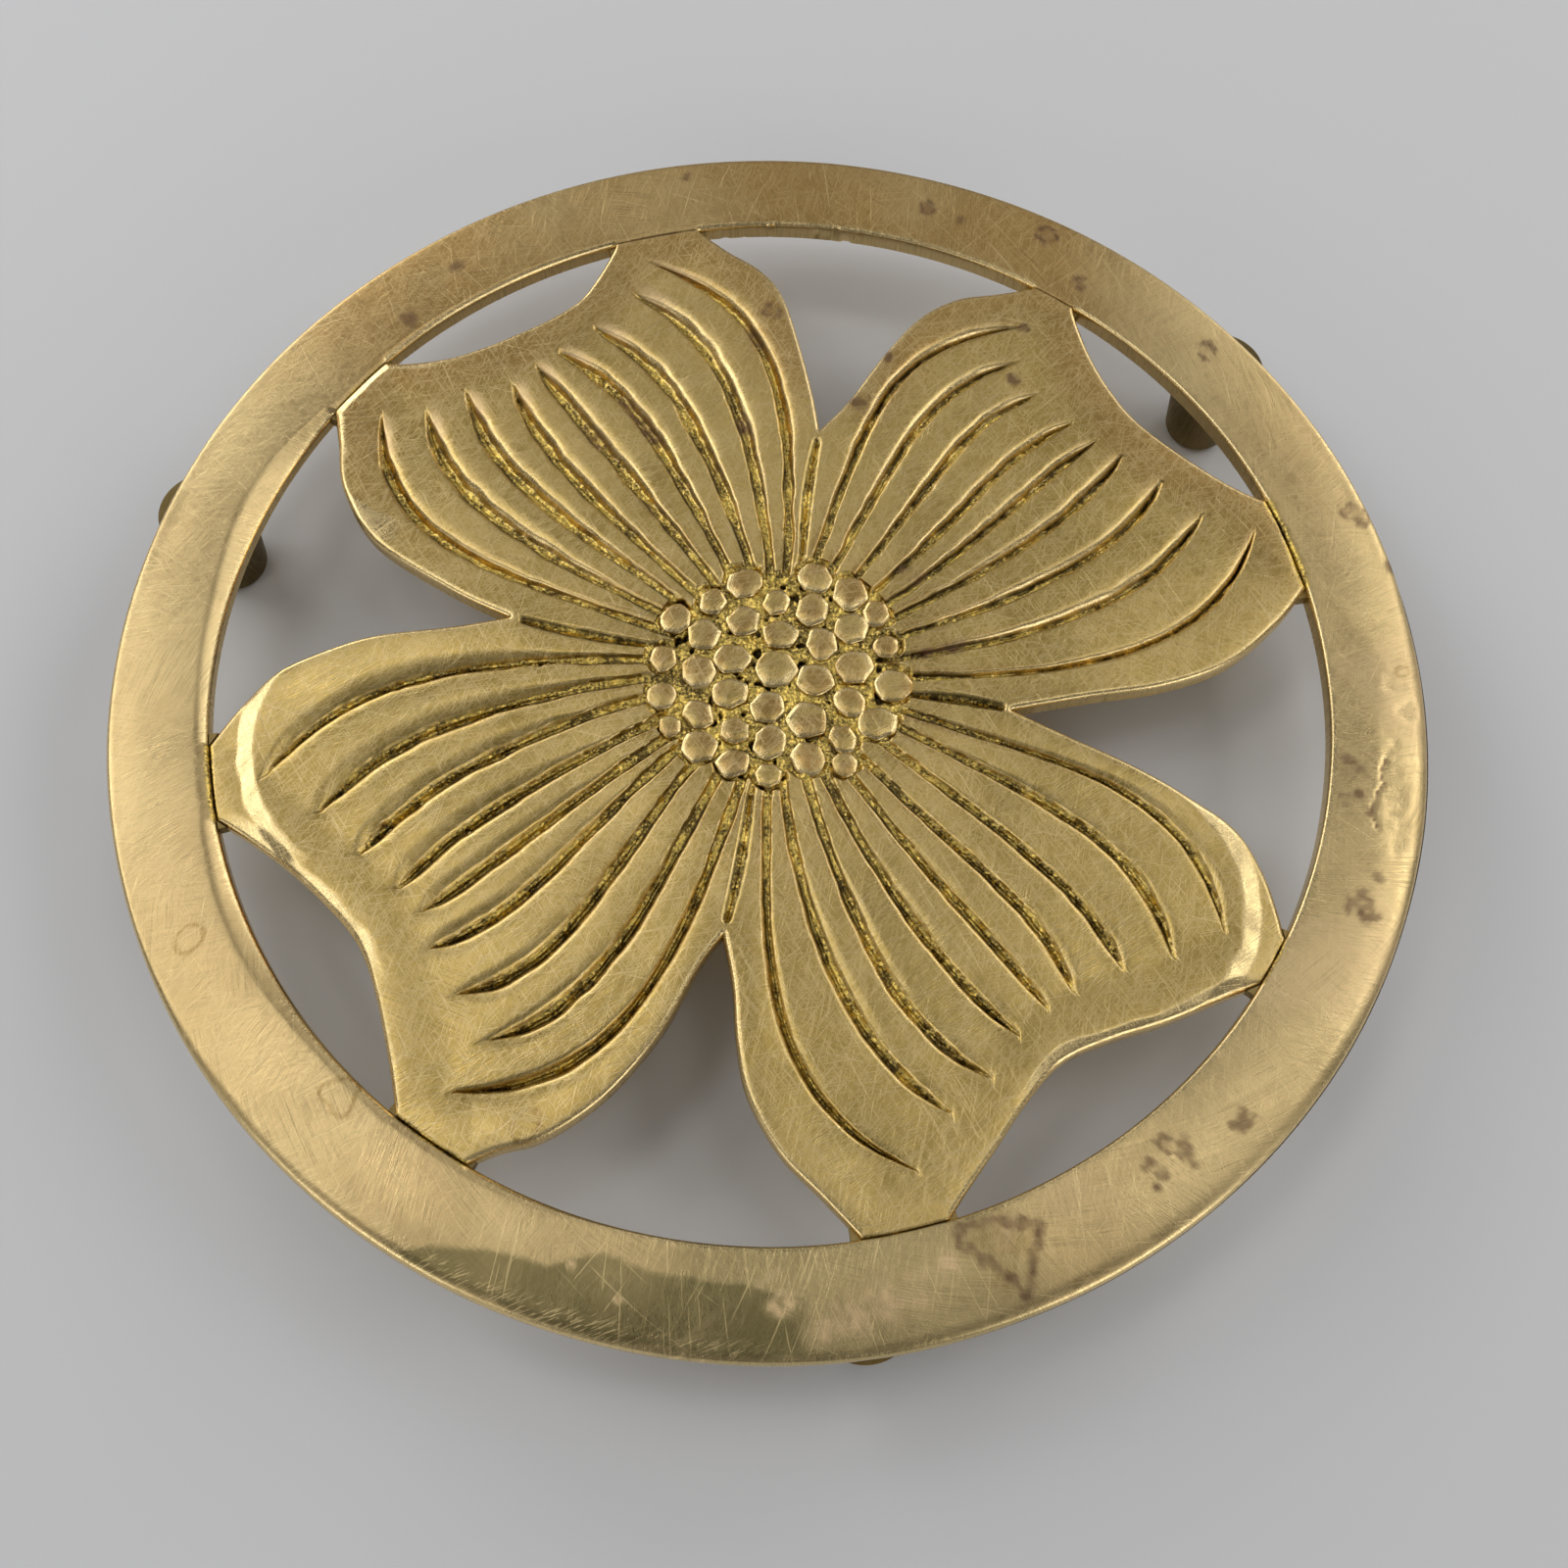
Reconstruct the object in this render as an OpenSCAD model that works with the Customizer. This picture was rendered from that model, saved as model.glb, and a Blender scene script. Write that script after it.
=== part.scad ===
// Round brass trivet: an open four-petalled blossom set in a flat rim on three stub feet.
// Millimetres, +Z up. The origin is on the table, under the middle of the rim.
// +Y is the back of the trivet, and bearings run counterclockwise from +X.

/* [Rim] */
// Outside diameter of the rim
rim_d = 200; // [150:1:300]
// Width of the rim's flat band
rim_w = 15; // [10:0.5:22]
// Thickness of the rim at the top of its crown
rim_t = 3.4; // [2.6:0.1:8]
// Height of the crown above the upper edges of the band
rim_crown = 0.4; // [0.1:0.1:0.8]
// Radius that rounds the two upper edges of the band
rim_edge_r = 1.2; // [0.5:0.1:1.6]

/* [Petals] */
// Thickness of a petal at its raised border
petal_t = 3; // [2.6:0.1:7]
// Depth of the hollow inside the raised border
dish_depth = 0.9; // [0.3:0.1:1.2]
// Depth of the nine vein grooves below the hollow
vein_depth = 0.8; // [0.3:0.1:1]
// Drop of a petal's upper edge, which also forms half of each seam groove
edge_drop = 0.6; // [0.2:0.1:1]

/* [Seed head] */
// Diameter of the boss that carries the seeds
head_d = 41.4; // [34:0.2:50]
// Height of a seed above the floor of the boss
seed_h = 1.4; // [0.8:0.1:2]
// Depth of the seeds' flat tops below the petals' raised borders
seed_drop = 0.1; // [0:0.1:0.4]
// Bevel round the flat top of a seed
seed_bevel = 0.5; // [0.2:0.1:0.6]

/* [Feet] */
// Height of a foot, from the table to the underside of the rim
foot_h = 17; // [8:0.5:30]
// Diameter of a foot where it meets the rim
foot_d = 14.6; // [10:0.2:18]
// Diameter of a foot near the table
foot_tip_d = 11; // [8:0.2:14]
// Radius that rounds the foot's lower edge
foot_edge_r = 1.8; // [0.5:0.1:2.5]

/* [Seam webs] */
// Depth of the corner webs' tops below the petals' upper edges
web_drop = 0.4; // [0.1:0.1:0.8]

/* [Hidden] */

$fn = 120;
brass = [0.70, 0.58, 0.36];
dark_brass = [0.36, 0.31, 0.20];

rim_r = rim_d / 2;
opening_r = rim_r - rim_w;
head_r = head_d / 2;
petal_top = foot_h + petal_t;
head_floor_t = petal_t - seed_drop - seed_h;
web_h = petal_t - edge_drop - web_drop;

// The blossom sits a touch off the middle of the rim
head_shift_share = [0.009, -0.004];
head_c = opening_r * head_shift_share;

// Lines between neighbouring petals: bearing at the seed head, then bearing and reach of the notch
seam_shares = [
    [-8.5, -8, 0.435],
    [81.5, 82.5, 0.52],
    [170.5, 170.5, 0.49],
    [261.5, 263, 0.505]
];

seam_bow_share = 0.02;

// Bearings on the rim where each petal's two lobes start and stop touching it
lobe_bearings = [
    [12.3, 23.5, 55.7, 60.9],
    [101.2, 111, 141.3, 149.7],
    [191.2, 199.6, 235.4, 243.6],
    [280.5, 288.7, 327.1, 332.6]
];

// Side edges from the notch outwards, on the side with the lower bearing: bearing, reach
low_side_shares = [
    [[-3, 0.565], [0, 0.705], [3.5, 0.825], [8.5, 0.93]],
    [[84.7, 0.59], [88, 0.705], [91, 0.825], [94, 0.89], [98, 0.942]],
    [[174.5, 0.59], [177.3, 0.715], [180, 0.8], [183.2, 0.885], [187.1, 0.946]],
    [[266, 0.59], [267.5, 0.683], [269.5, 0.77], [273.3, 0.86], [277.3, 0.93]]
];

// Side edges from the notch outwards, on the side with the higher bearing: bearing, reach
high_side_shares = [
    [[78.3, 0.596], [75, 0.716], [72, 0.827], [68.5, 0.9], [64.3, 0.95]],
    [[167.8, 0.602], [163.3, 0.778], [158, 0.885], [152.8, 0.952]],
    [[260, 0.567], [257.2, 0.688], [253.3, 0.812], [249, 0.91], [245.5, 0.96]],
    [[348.8, 0.537], [346.5, 0.652], [344.3, 0.756], [342, 0.858], [338.3, 0.925], [335, 0.97]]
];

// Three places along the hollow edge between the two lobes: bearing, reach
tip_shares = [
    [[27.8, 0.945], [40, 0.885], [50, 0.928]],
    [[117.6, 0.9], [127.2, 0.886], [136, 0.923]],
    [[206.7, 0.915], [218.4, 0.863], [228, 0.912]],
    [[295.3, 0.924], [306.3, 0.856], [317.6, 0.916]]
];

// Vein grooves of each petal: bearing at the seed head, bearing after bend_share of the way,
// bearing at the tip, and reach of the tip
bend_share = 0.6;
vein_shares = [
    [
        [-0.5, 7, 20.5, 0.94], [9.5, 16, 25, 0.865], [20, 24.5, 31.5, 0.835],
        [29.5, 33, 37.5, 0.805], [36.5, 40.5, 41.5, 0.785], [44.5, 47.5, 46, 0.78],
        [55, 56.5, 52.5, 0.785], [66, 65, 58, 0.82], [75, 72.5, 60.5, 0.895]
    ],
    [
        [88, 94, 108, 0.945], [96.5, 101.5, 111, 0.875], [106, 110.5, 118, 0.83],
        [116.5, 118.5, 124, 0.81], [126, 127.5, 128, 0.805], [136.5, 136, 132.5, 0.795],
        [145, 143.5, 138, 0.84], [154, 151.5, 143.5, 0.865], [161.5, 159.5, 147.5, 0.925]
    ],
    [
        [177.5, 184, 195.5, 0.915], [186.5, 192.5, 201.5, 0.835], [195.5, 201.5, 208.5, 0.795],
        [207.5, 210.5, 215, 0.76], [216.5, 218.5, 219.5, 0.745], [223.5, 226.5, 224, 0.775],
        [233.5, 236, 231, 0.79], [245.5, 244.5, 237.5, 0.815], [256, 251.5, 238, 0.915]
    ],
    [
        [268.5, 273.5, 286.5, 0.905], [275.5, 283, 292, 0.835], [286, 290.5, 298, 0.81],
        [295, 299.5, 303.5, 0.77], [305, 308, 308.5, 0.76], [314, 316, 312.5, 0.765],
        [325.5, 324, 319, 0.795], [335.5, 333.5, 324, 0.85], [343.5, 342, 330, 0.895]
    ]
];
spans = len(vein_shares[0]) + 1;

// Power of the sharper turn that ends each vein
hook_power = 4;

// Rows of surface points along a petal, from the seed head to the outer edge
row_shares = [
    0, 0.03, 0.07, 0.12, 0.18, 0.24, 0.3, 0.36, 0.42, 0.48, 0.54,
    0.6, 0.66, 0.72, 0.77, 0.81, 0.84, 0.88, 0.92, 0.96, 0.985, 1
];
notch_row_share = 0.36;
vein_end_share = 0.84;

// Columns of surface points across the span between two veins
column_shares = [0, 0.14, 0.32, 0.5, 0.68, 0.86];
groove_half_share = 0.2;
border_shares = [0.4, 1.3];
dish_start_share = 0.35;
dish_end_shares = [0.86, 0.97];
vein_fade_shares = [0.76, 0.85];

// Seeds: place and radius, as shares of the boss's radius
seed_shares = [
    [-0.28, 0.73, 0.12], [0.25, 0.8, 0.12], [0.52, 0.68, 0.13], [-0.51, 0.56, 0.1],
    [-0.03, 0.58, 0.1], [0.24, 0.53, 0.12], [0.72, 0.52, 0.1], [-0.78, 0.4, 0.11],
    [-0.27, 0.41, 0.12], [-0.56, 0.28, 0.12], [0.01, 0.31, 0.12], [0.32, 0.25, 0.12],
    [0.54, 0.39, 0.12], [0.8, 0.25, 0.09], [-0.85, 0.07, 0.1], [-0.34, 0.09, 0.12],
    [-0.58, -0.03, 0.12], [-0.01, 0.02, 0.14], [0.28, -0.05, 0.13], [0.57, 0.07, 0.13],
    [0.86, -0.07, 0.13], [-0.84, -0.24, 0.1], [-0.34, -0.19, 0.12], [-0.06, -0.29, 0.12],
    [0.23, -0.38, 0.14], [0.54, -0.22, 0.11], [0.75, -0.38, 0.13], [-0.56, -0.37, 0.11],
    [-0.76, -0.48, 0.08], [-0.29, -0.49, 0.1], [-0.03, -0.57, 0.12], [-0.54, -0.63, 0.12],
    [0.5, -0.52, 0.1], [-0.29, -0.75, 0.11], [0.25, -0.69, 0.12], [-0.03, -0.83, 0.09],
    [0.52, -0.72, 0.09]
];

// Feet: bearing, then how far in from the rim's outer edge the foot's middle lies, as a share of rim_w
foot_left_shares = [165, 0.31];
foot_back_right_shares = [40, 0.31];
foot_front_shares = [280, 0.45];

// Place inside the rim at a bearing and a reach, with 1 at the inner edge of the rim
function at(bearing, reach) = opening_r * reach * [cos(bearing), sin(bearing)];

// Place round the middle of the seed head
function round_head(bearing, radius) = head_c + radius * [cos(bearing), sin(bearing)];

function mix(a, b, t) = a + (b - a) * t;
function ramp(low, high, x) = let (t = min(max((x - low) / (high - low), 0), 1)) t * t * (3 - 2 * t);

// Smooth curve through a list of points, with u running from 0 at the first to 1 at the last
function curve(points, u) =
    let (
        last = len(points) - 1,
        i = min(floor(u * last), last - 1),
        t = u * last - i,
        a = points[max(i - 1, 0)],
        b = points[i],
        c = points[i + 1],
        d = points[min(i + 2, last)]
    )
    (2 * b + (c - a) * t + (2 * a - 5 * b + 4 * c - d) * t ^ 2 + (3 * b - a - 3 * c + d) * t ^ 3) / 2;

// Shared seam between two petals, bowed a little to one side as it runs from the head to the notch
function seam_point(start, notch, t) =
    let (run = notch - start)
    mix(start, notch, t) + seam_bow_share * sin(180 * t) * [-run[1], run[0]];

// Edge of a petal beside its neighbour: along the shared seam, then round the lobe
function side_point(seam, turn, shares, corner_bearing, s) =
    let (
        start = round_head(seam[0] + turn, head_r),
        notch = at(seam[1] + turn, seam[2]),
        lobe = concat([notch], [for (p = shares) at(p[0], p[1])], [at(corner_bearing, 1)])
    )
    s <= notch_row_share
        ? seam_point(start, notch, s / notch_row_share)
        : curve(lobe, (s - notch_row_share) / (1 - notch_row_share));

// Hollow edge between the lobes, with u from 0 to 1
function tip_point(p, u) =
    curve(concat([at(lobe_bearings[p][1], 1)], [for (q = tip_shares[p]) at(q[0], q[1])],
        [at(lobe_bearings[p][2], 1)]), u);

// Line of one vein, carried on from its tip to the petal's outer edge
function vein_point(p, k, s) =
    let (
        vein = vein_shares[p][k - 1],
        t = min(s / vein_end_share, 1),
        swing = vein[2] - vein[0],
        hook = (vein[1] - vein[0] - bend_share * swing) / (bend_share ^ hook_power - bend_share),
        bearing = vein[0] + (swing - hook) * t + hook * t ^ hook_power,
        groove = round_head(bearing, mix(head_r, vein[3] * opening_r, t))
    )
    s <= vein_end_share
        ? groove
        : mix(groove, tip_point(p, (k - 1) / (spans - 2)), (s - vein_end_share) / (1 - vein_end_share));

function line_point(p, k, s) =
    k == 0 ? side_point(seam_shares[p], 0, low_side_shares[p], lobe_bearings[p][0], s) :
    k == spans ? side_point(seam_shares[(p + 1) % len(seam_shares)], p + 1 == len(seam_shares) ? 360 : 0,
        high_side_shares[p], lobe_bearings[p][3], s) :
    vein_point(p, k, s);

function onto_circle(middle, radius, point) = middle + radius * (point - middle) / norm(point - middle);

// Plan position on a petal: k counts the lines across from 0 to spans, s runs from the head outwards
function plan_point(p, k, s) =
    let (
        span = min(floor(k), spans - 1),
        point = mix(line_point(p, span, s), line_point(p, span + 1, s), k - span)
    )
    s == 0 ? onto_circle(head_c, head_r, point) :
    s == 1 && (k <= 1 || k >= spans - 1) ? onto_circle([0, 0], opening_r, point) :
    point;

// Height of a petal's upper face: hollow inside a raised border, grooved along the veins
function top_height(k, s) =
    let (
        from_side = min(k, spans - k),
        hollow = ramp(border_shares[0], border_shares[1], from_side) * ramp(0, dish_start_share, s)
            * (1 - ramp(dish_end_shares[0], dish_end_shares[1], s)),
        vein = round(k),
        in_groove = max(1 - abs(k - vein) / groove_half_share, 0),
        groove = vein == 0 || vein == spans ? 0 : in_groove * (1 - ramp(vein_fade_shares[0], vein_fade_shares[1], s)),
        edge = s == 1 ? 1 : max(1 - from_side / groove_half_share, 0)
    )
    petal_top - dish_depth * hollow - vein_depth * groove - edge_drop * edge;

// Rim: a flat ring with a low crown and rounded upper edges
module rim() {
    round_steps = 6;
    crown_steps = 8;
    shoulder_z = rim_t - rim_crown - rim_edge_r;
    inner_round = [for (i = [0:round_steps]) let (a = 180 - 90 * i / round_steps)
        [opening_r + rim_edge_r + rim_edge_r * cos(a), shoulder_z + rim_edge_r * sin(a)]];
    crown = [for (i = [1:crown_steps - 1]) let (u = i / crown_steps)
        [mix(opening_r + rim_edge_r, rim_r - rim_edge_r, u), rim_t - rim_crown * (2 * u - 1) ^ 2]];
    outer_round = [for (i = [0:round_steps]) let (a = 90 - 90 * i / round_steps)
        [rim_r - rim_edge_r + rim_edge_r * cos(a), shoulder_z + rim_edge_r * sin(a)]];
    color(brass)
    translate([0, 0, foot_h])
    rotate_extrude()
    polygon(concat([[opening_r, 0]], inner_round, crown, outer_round, [[rim_r, 0]]));
}

// Petal: a grid of points swept between the veins, closed by upright walls and a flat underside
module petal(p) {
    columns = [for (k = [0:spans - 1]) for (f = column_shares) k + f];
    across = concat(columns, [spans]);
    rows = len(row_shares);
    count = len(across);
    top = [for (k = across) for (s = row_shares) concat(plan_point(p, k, s), [top_height(k, s)])];
    boundary = concat(
        [for (j = [0:rows - 1]) j],
        [for (i = [1:count - 1]) i * rows + rows - 1],
        [for (j = [rows - 2:-1:0]) (count - 1) * rows + j],
        [for (i = [count - 2:-1:1]) i * rows]
    );
    edge_count = len(boundary);
    first = len(top);
    bottom = [for (b = boundary) [top[b][0], top[b][1], foot_h]];
    upper_faces = [
        for (i = [0:count - 2]) for (j = [0:rows - 2])
        let (a = i * rows + j, b = a + rows)
        each [[a, b, b + 1], [a, b + 1, a + 1]]
    ];
    walls = [
        for (i = [0:edge_count - 1])
        let (next = (i + 1) % edge_count)
        [boundary[i], boundary[next], first + next, first + i]
    ];
    underside = [[for (i = [0:edge_count - 1]) first + i]];
    color(brass)
    polyhedron(concat(top, bottom), concat(upper_faces, walls, underside));
}

module petal_back_right() {
    petal(0);
}

module petal_back_left() {
    petal(1);
}

module petal_front_left() {
    petal(2);
}

module petal_front_right() {
    petal(3);
}

// Seed head: a round boss with bevelled, flat-topped seeds
module seed_head() {
    color(brass)
    translate([head_c[0], head_c[1], foot_h])
    union() {
        cylinder(h = head_floor_t, r = head_r);
        for (place = seed_shares)
            translate([place[0] * head_r, place[1] * head_r, 0])
            seed(place[2] * head_r);
    }
}

module seed(radius) {
    side_h = head_floor_t + seed_h - seed_bevel;
    cylinder(h = side_h, r = radius, $fn = 24);
    translate([0, 0, side_h])
    cylinder(h = seed_bevel, r1 = radius, r2 = radius - seed_bevel, $fn = 24);
}

// Seam webs: small upright wedges in the narrow corners where the lobes meet the rim
module seam_webs() {
    steps = 2;
    last_row = len(row_shares) - 1;
    side_rows = [for (i = [0:steps]) row_shares[last_row - i]];
    color(brass)
    for (p = [0:len(lobe_bearings) - 1]) {
        web([for (s = side_rows) plan_point(p, 0, s)]);
        web([for (i = [0:steps]) plan_point(p, 1 + column_shares[i], 1)]);
        web([for (i = [0:steps]) plan_point(p, spans - 1 - column_shares[i], 1)]);
        web([for (s = side_rows) plan_point(p, spans, s)]);
    }
}

// One web fills the wedge between a stretch of petal edge and the rim, from the corner outwards
module web(edge) {
    on_rim = [for (i = [len(edge) - 1:-1:1]) onto_circle([0, 0], opening_r, edge[i])];
    translate([0, 0, foot_h])
    linear_extrude(web_h)
    polygon(concat(edge, on_rim));
}

// Foot: a tapered stub with a rounded lower edge, flat on top where it meets the rim
module foot(shares) {
    round_steps = 6;
    tip_r = foot_tip_d / 2;
    lower_round = [for (i = [0:round_steps]) let (a = -90 + 90 * i / round_steps)
        [tip_r - foot_edge_r + foot_edge_r * cos(a), foot_edge_r + foot_edge_r * sin(a)]];
    middle = (rim_r - shares[1] * rim_w) * [cos(shares[0]), sin(shares[0])];
    color(dark_brass)
    translate([middle[0], middle[1], 0])
    rotate_extrude()
    polygon(concat([[0, 0]], lower_round, [[foot_d / 2, foot_h], [0, foot_h]]));
}

module foot_left() {
    foot(foot_left_shares);
}

module foot_back_right() {
    foot(foot_back_right_shares);
}

module foot_front() {
    foot(foot_front_shares);
}

rim();
petal_back_right();
petal_back_left();
petal_front_left();
petal_front_right();
seed_head();
seam_webs();
foot_left();
foot_back_right();
foot_front();
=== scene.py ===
import math
import random

import bmesh
import bpy
import numpy as np
from mathutils import Matrix, Vector


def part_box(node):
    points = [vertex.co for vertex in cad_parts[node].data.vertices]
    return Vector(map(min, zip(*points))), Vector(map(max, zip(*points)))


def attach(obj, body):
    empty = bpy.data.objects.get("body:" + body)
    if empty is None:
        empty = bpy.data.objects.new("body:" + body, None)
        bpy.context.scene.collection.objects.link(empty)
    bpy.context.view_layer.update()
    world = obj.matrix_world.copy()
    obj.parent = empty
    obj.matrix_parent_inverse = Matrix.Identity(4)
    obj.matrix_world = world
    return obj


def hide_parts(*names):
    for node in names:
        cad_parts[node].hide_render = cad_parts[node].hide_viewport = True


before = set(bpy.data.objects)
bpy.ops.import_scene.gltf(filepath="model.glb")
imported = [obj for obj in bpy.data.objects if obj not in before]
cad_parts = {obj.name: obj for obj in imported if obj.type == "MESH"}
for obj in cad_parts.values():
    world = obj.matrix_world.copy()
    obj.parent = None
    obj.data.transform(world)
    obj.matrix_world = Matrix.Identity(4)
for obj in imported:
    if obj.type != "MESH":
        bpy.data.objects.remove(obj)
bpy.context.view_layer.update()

MM = 0.001

# Rim: a flat ring cast in yellow brass. Its band is crowned a little, ground on the inner corner,
# filed on the outer one and brushed across with emery. Drops of water and hot pots left brown spots
# on it, and the right-hand side keeps a strip of pitted casting skin.
rim_low, rim_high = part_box("rim")
rim_r = rim_high.x
band_w = 15 * MM
opening_r = rim_r - band_w
under_z = rim_low.z
crown_z = rim_high.z
crown_h = 0.4 * MM

# Room that the brushed faces leave above them for their waves
skim = 0.05 * MM

# Bearings on the rim where each petal's two lobes start and stop touching it
lobes = [
    (12.3, 23.5, 55.7, 60.9), (101.2, 111, 141.3, 149.7),
    (191.2, 199.6, 235.4, 243.6), (280.5, 288.7, 327.1, 332.6)
]

# Half the width of the groove that was left where each lobe meets the rim, first and second lobe, and how
# deep it is as a share of a full round edge
joint_w = [(1.1, 0.35), (0.3, 0.4), (0.9, 0.6), (0.45, 0.5)]
joint_depth = 0.7

# Bearing and place across the band of the ridge that runs down the right-hand side of the rim
ridge_bearings = [-50, -26, -17, -4, 3, 9, 12]
ridge_across = [0.72, 0.66, 0.58, 0.46, 0.60, 0.30, 0.15]

# A stain with three corners at the front, and a long scratch, in millimetres
stain_edge = [
    (39, -80.6), (33, -80.4), (28.4, -81.4), (28.7, -83.7), (32.1, -85.7), (35.3, -87.6),
    (37.4, -90.1), (38.3, -84.8), (39, -80.6)
]
long_scratch = [(-7.6, -97.7), (-3, -93.6), (1.6, -90.6), (4.9, -87.7)]

# Bearing of the darker part of the front of the rim, and the place across the band where it starts
dark_front_bearings = [238, 243, 247, 251, 254, 258, 262, 270, 276]
dark_front_across = [1.0, 0.87, 0.62, 0.49, 0.48, 0.27, 0.30, 0.31, 0.45]

# A crack in the casting skin, in millimetres
crack = [(92.4, -11.0), (91.3, -13.2), (91.7, -14.8), (90.5, -16.4), (89.5, -19.6), (90.1, -22.2)]

# Strips ground off the inner corner and filed off the outer one: bearings of the ends and the fade beyond
# them in degrees, and the width in millimetres
ground_strips = [(160, 214, 14, 1.9), (214, 240, 25, 1.1), (108, 160, 20, 0.9)]
filed_strips = [(300, 360, 30, 1.6), (225, 262, 20, 1.0)]

# Pale spots of dried water on the rim, and brown ones: place and radius in millimetres, and how much of
# a ring each one is
pale_spots = [
    (-22.6, -88.6, 1.0, 0), (5.1, -92.6, 2.3, 0), (10.5, -95.5, 2.0, 0), (14.6, -93.5, 3.4, 0),
    (19, -91.5, 3.4, 0), (23.4, -89.5, 3.0, 0), (27, -86.5, 2.4, 0), (34, -82, 2.6, 0.4),
    (-16, -92.6, 0.8, 0.5)
]
rim_spots = [
    (23, 90, 1.6, 0.6), (29, 87.5, 1.2, 0.3), (44, 85, 2.2, 0.9), (49, 75, 1.8, 0.6),
    (70, 62.5, 2.0, 0.7), (92, 32, 2.4, 0.5), (97, 22.5, 1.4, 0.2), (87.2, -12.3, 2.1, 0.1),
    (87.8, -16.7, 1.1, 0), (89, -19.7, 1.1, 0), (85.9, -17.6, 1.1, 0.4), (86.8, -34.5, 2.6, 0.5),
    (86.4, -35.2, 1.0, 0), (67, -65.5, 1.8, 0.3), (53.8, -72.2, 1.1, 0.3), (56.4, -69.4, 1.5, 0.6),
    (59, -70.3, 1.3, 0.4), (60.2, -72, 0.9, 0), (55.7, -73.5, 1.1, 0.3), (59.1, -68.2, 0.8, 0),
    (55, -75.3, 0.8, 0), (35, -87.5, 0.9, 0), (37, -90, 1.1, 0), (-57, 73, 1.6, 0.2),
    (-63.5, 61.5, 1.8, 0.2), (-19, 94.5, 1.2, 0.3), (89.5, -29.5, 0.9, 0.4), (37.3, -89.5, 1.2, 0),
    (82.3, -9, 0.6, 0)
]

# Outlines that dried drops left: place and radius in millimetres, number of corners and strength
drop_rings = [
    (-80.4, -46.8, 1.9, 2, 0.8), (-56, -67.8, 2.4, 3, 0.8), (-30.4, -70.7, 2.0, 2, 0.8),
    (34.0, -82.3, 1.3, 2, 0.5), (96.5, 4, 0.9, 2, 0.6), (-19, -92, 1.1, 2, 0.4)
]


def held(x):
    """Keeps values between 0 and 1."""
    return np.clip(x, 0, 1)


def most(*values):
    """The greatest of several arrays, point by point."""
    return np.maximum.reduce(values)


def ramp(low, high, x):
    """0 below low, 1 above high and a smooth rise between."""
    t = held((x - low) / (high - low))
    return t * t * (3 - 2 * t)


def fall(low, high, x):
    """1 below low, 0 above high and a smooth fall between."""
    return 1 - ramp(low, high, x)


def bell(x, middle, half):
    """1 at the middle, fading to nothing over about twice the half width to each side."""
    return np.exp(-(((x - middle) / half) ** 2))


def lumps(points, size, layers=2, shift=0.0):
    """Soft noise from about -1 to 1 at each point, with lumps of the given size in millimetres."""
    total = np.zeros(len(points))
    for layer in range(layers):
        scaled = points * (2**layer / (size * MM)) + 31.7 * shift + 17.3 * layer
        cell = np.floor(scaled).astype(np.int64)
        part = scaled - cell
        ease = part * part * (3 - 2 * part)
        for corner in np.ndindex(2, 2, 2):
            key = (cell + corner) @ np.array([73856093, 19349663, 83492791]) & 0x7FFFFFFF
            key = (key ^ (key >> 13)) * 1274126177 & 0x7FFFFFFF
            key ^= key >> 15
            weight = np.prod(np.where(corner, ease, 1 - ease), axis=1)
            total += weight * ((key % 4096) / 2047.5 - 1) * 0.5**layer
    return total


def bearing_of(points):
    """Bearing of each point in degrees, from 0 to 360."""
    return np.degrees(np.arctan2(points[:, 1], points[:, 0])) % 360


def arc(bearing, start, stop, soft):
    """1 between two bearings in degrees, fading to 0 over soft degrees beyond them."""
    middle = (start + stop) / 2
    away = np.abs((bearing - middle + 180) % 360 - 180) - (stop - start) / 2
    return fall(0, soft, away)


def spot_mask(points, spots):
    """How brown each point is: broken rings and blots with ragged edges."""
    mask = np.zeros(len(points))
    for x, y, radius, ring in spots:
        away = np.hypot(points[:, 0] / MM - x, points[:, 1] / MM - y)
        near = away < 2.5 * radius
        share = away[near] / radius + 0.34 * lumps(points[near], 3, shift=radius)
        share += 0.26 * lumps(points[near], 0.9, shift=3 * radius)
        blot = fall(0.3, 1.15, share)
        edge = fall(0.1, 0.4, np.abs(share - 0.8))
        broken = ramp(-0.5, 0.3, lumps(points[near], 1.2, shift=2 * radius))
        brown = blot * (1 - 0.65 * ring) * (0.4 + 0.6 * broken) + ring * edge * broken
        mask[near] = most(mask[near], brown)
    return held(mask)


def outline_mask(points):
    """Thin outlines of dried drops."""
    mask = np.zeros(len(points))
    for x, y, radius, corners, strength in drop_rings:
        away = points[:, :2] / MM - np.array([x, y])
        turn = np.arctan2(away[:, 1], away[:, 0])
        reach = np.hypot(*away.T) / radius * (1 + 0.16 * np.cos(corners * turn + x))
        reach += 0.09 * lumps(points, 1.6, 3, shift=radius)
        mask = most(mask, strength * fall(0.15 / radius, 0.4 / radius, np.abs(reach - 1)))
    return mask


def edge_distance(points, outline):
    """Shortest distance from each point to a line of points."""
    best = np.full(len(points), 1.0)
    for a, b in zip(outline[:-1], outline[1:]):
        run = b - a
        t = held(((points - a) @ run) / (run @ run))
        best = np.minimum(best, np.hypot(*(points - a - t[:, None] * run).T))
    return best


def coords(bm):
    return np.array([v.co for v in bm.verts])


def set_coords(bm, points):
    for vert, point in zip(bm.verts, points.tolist()):
        vert.co = point


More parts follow.
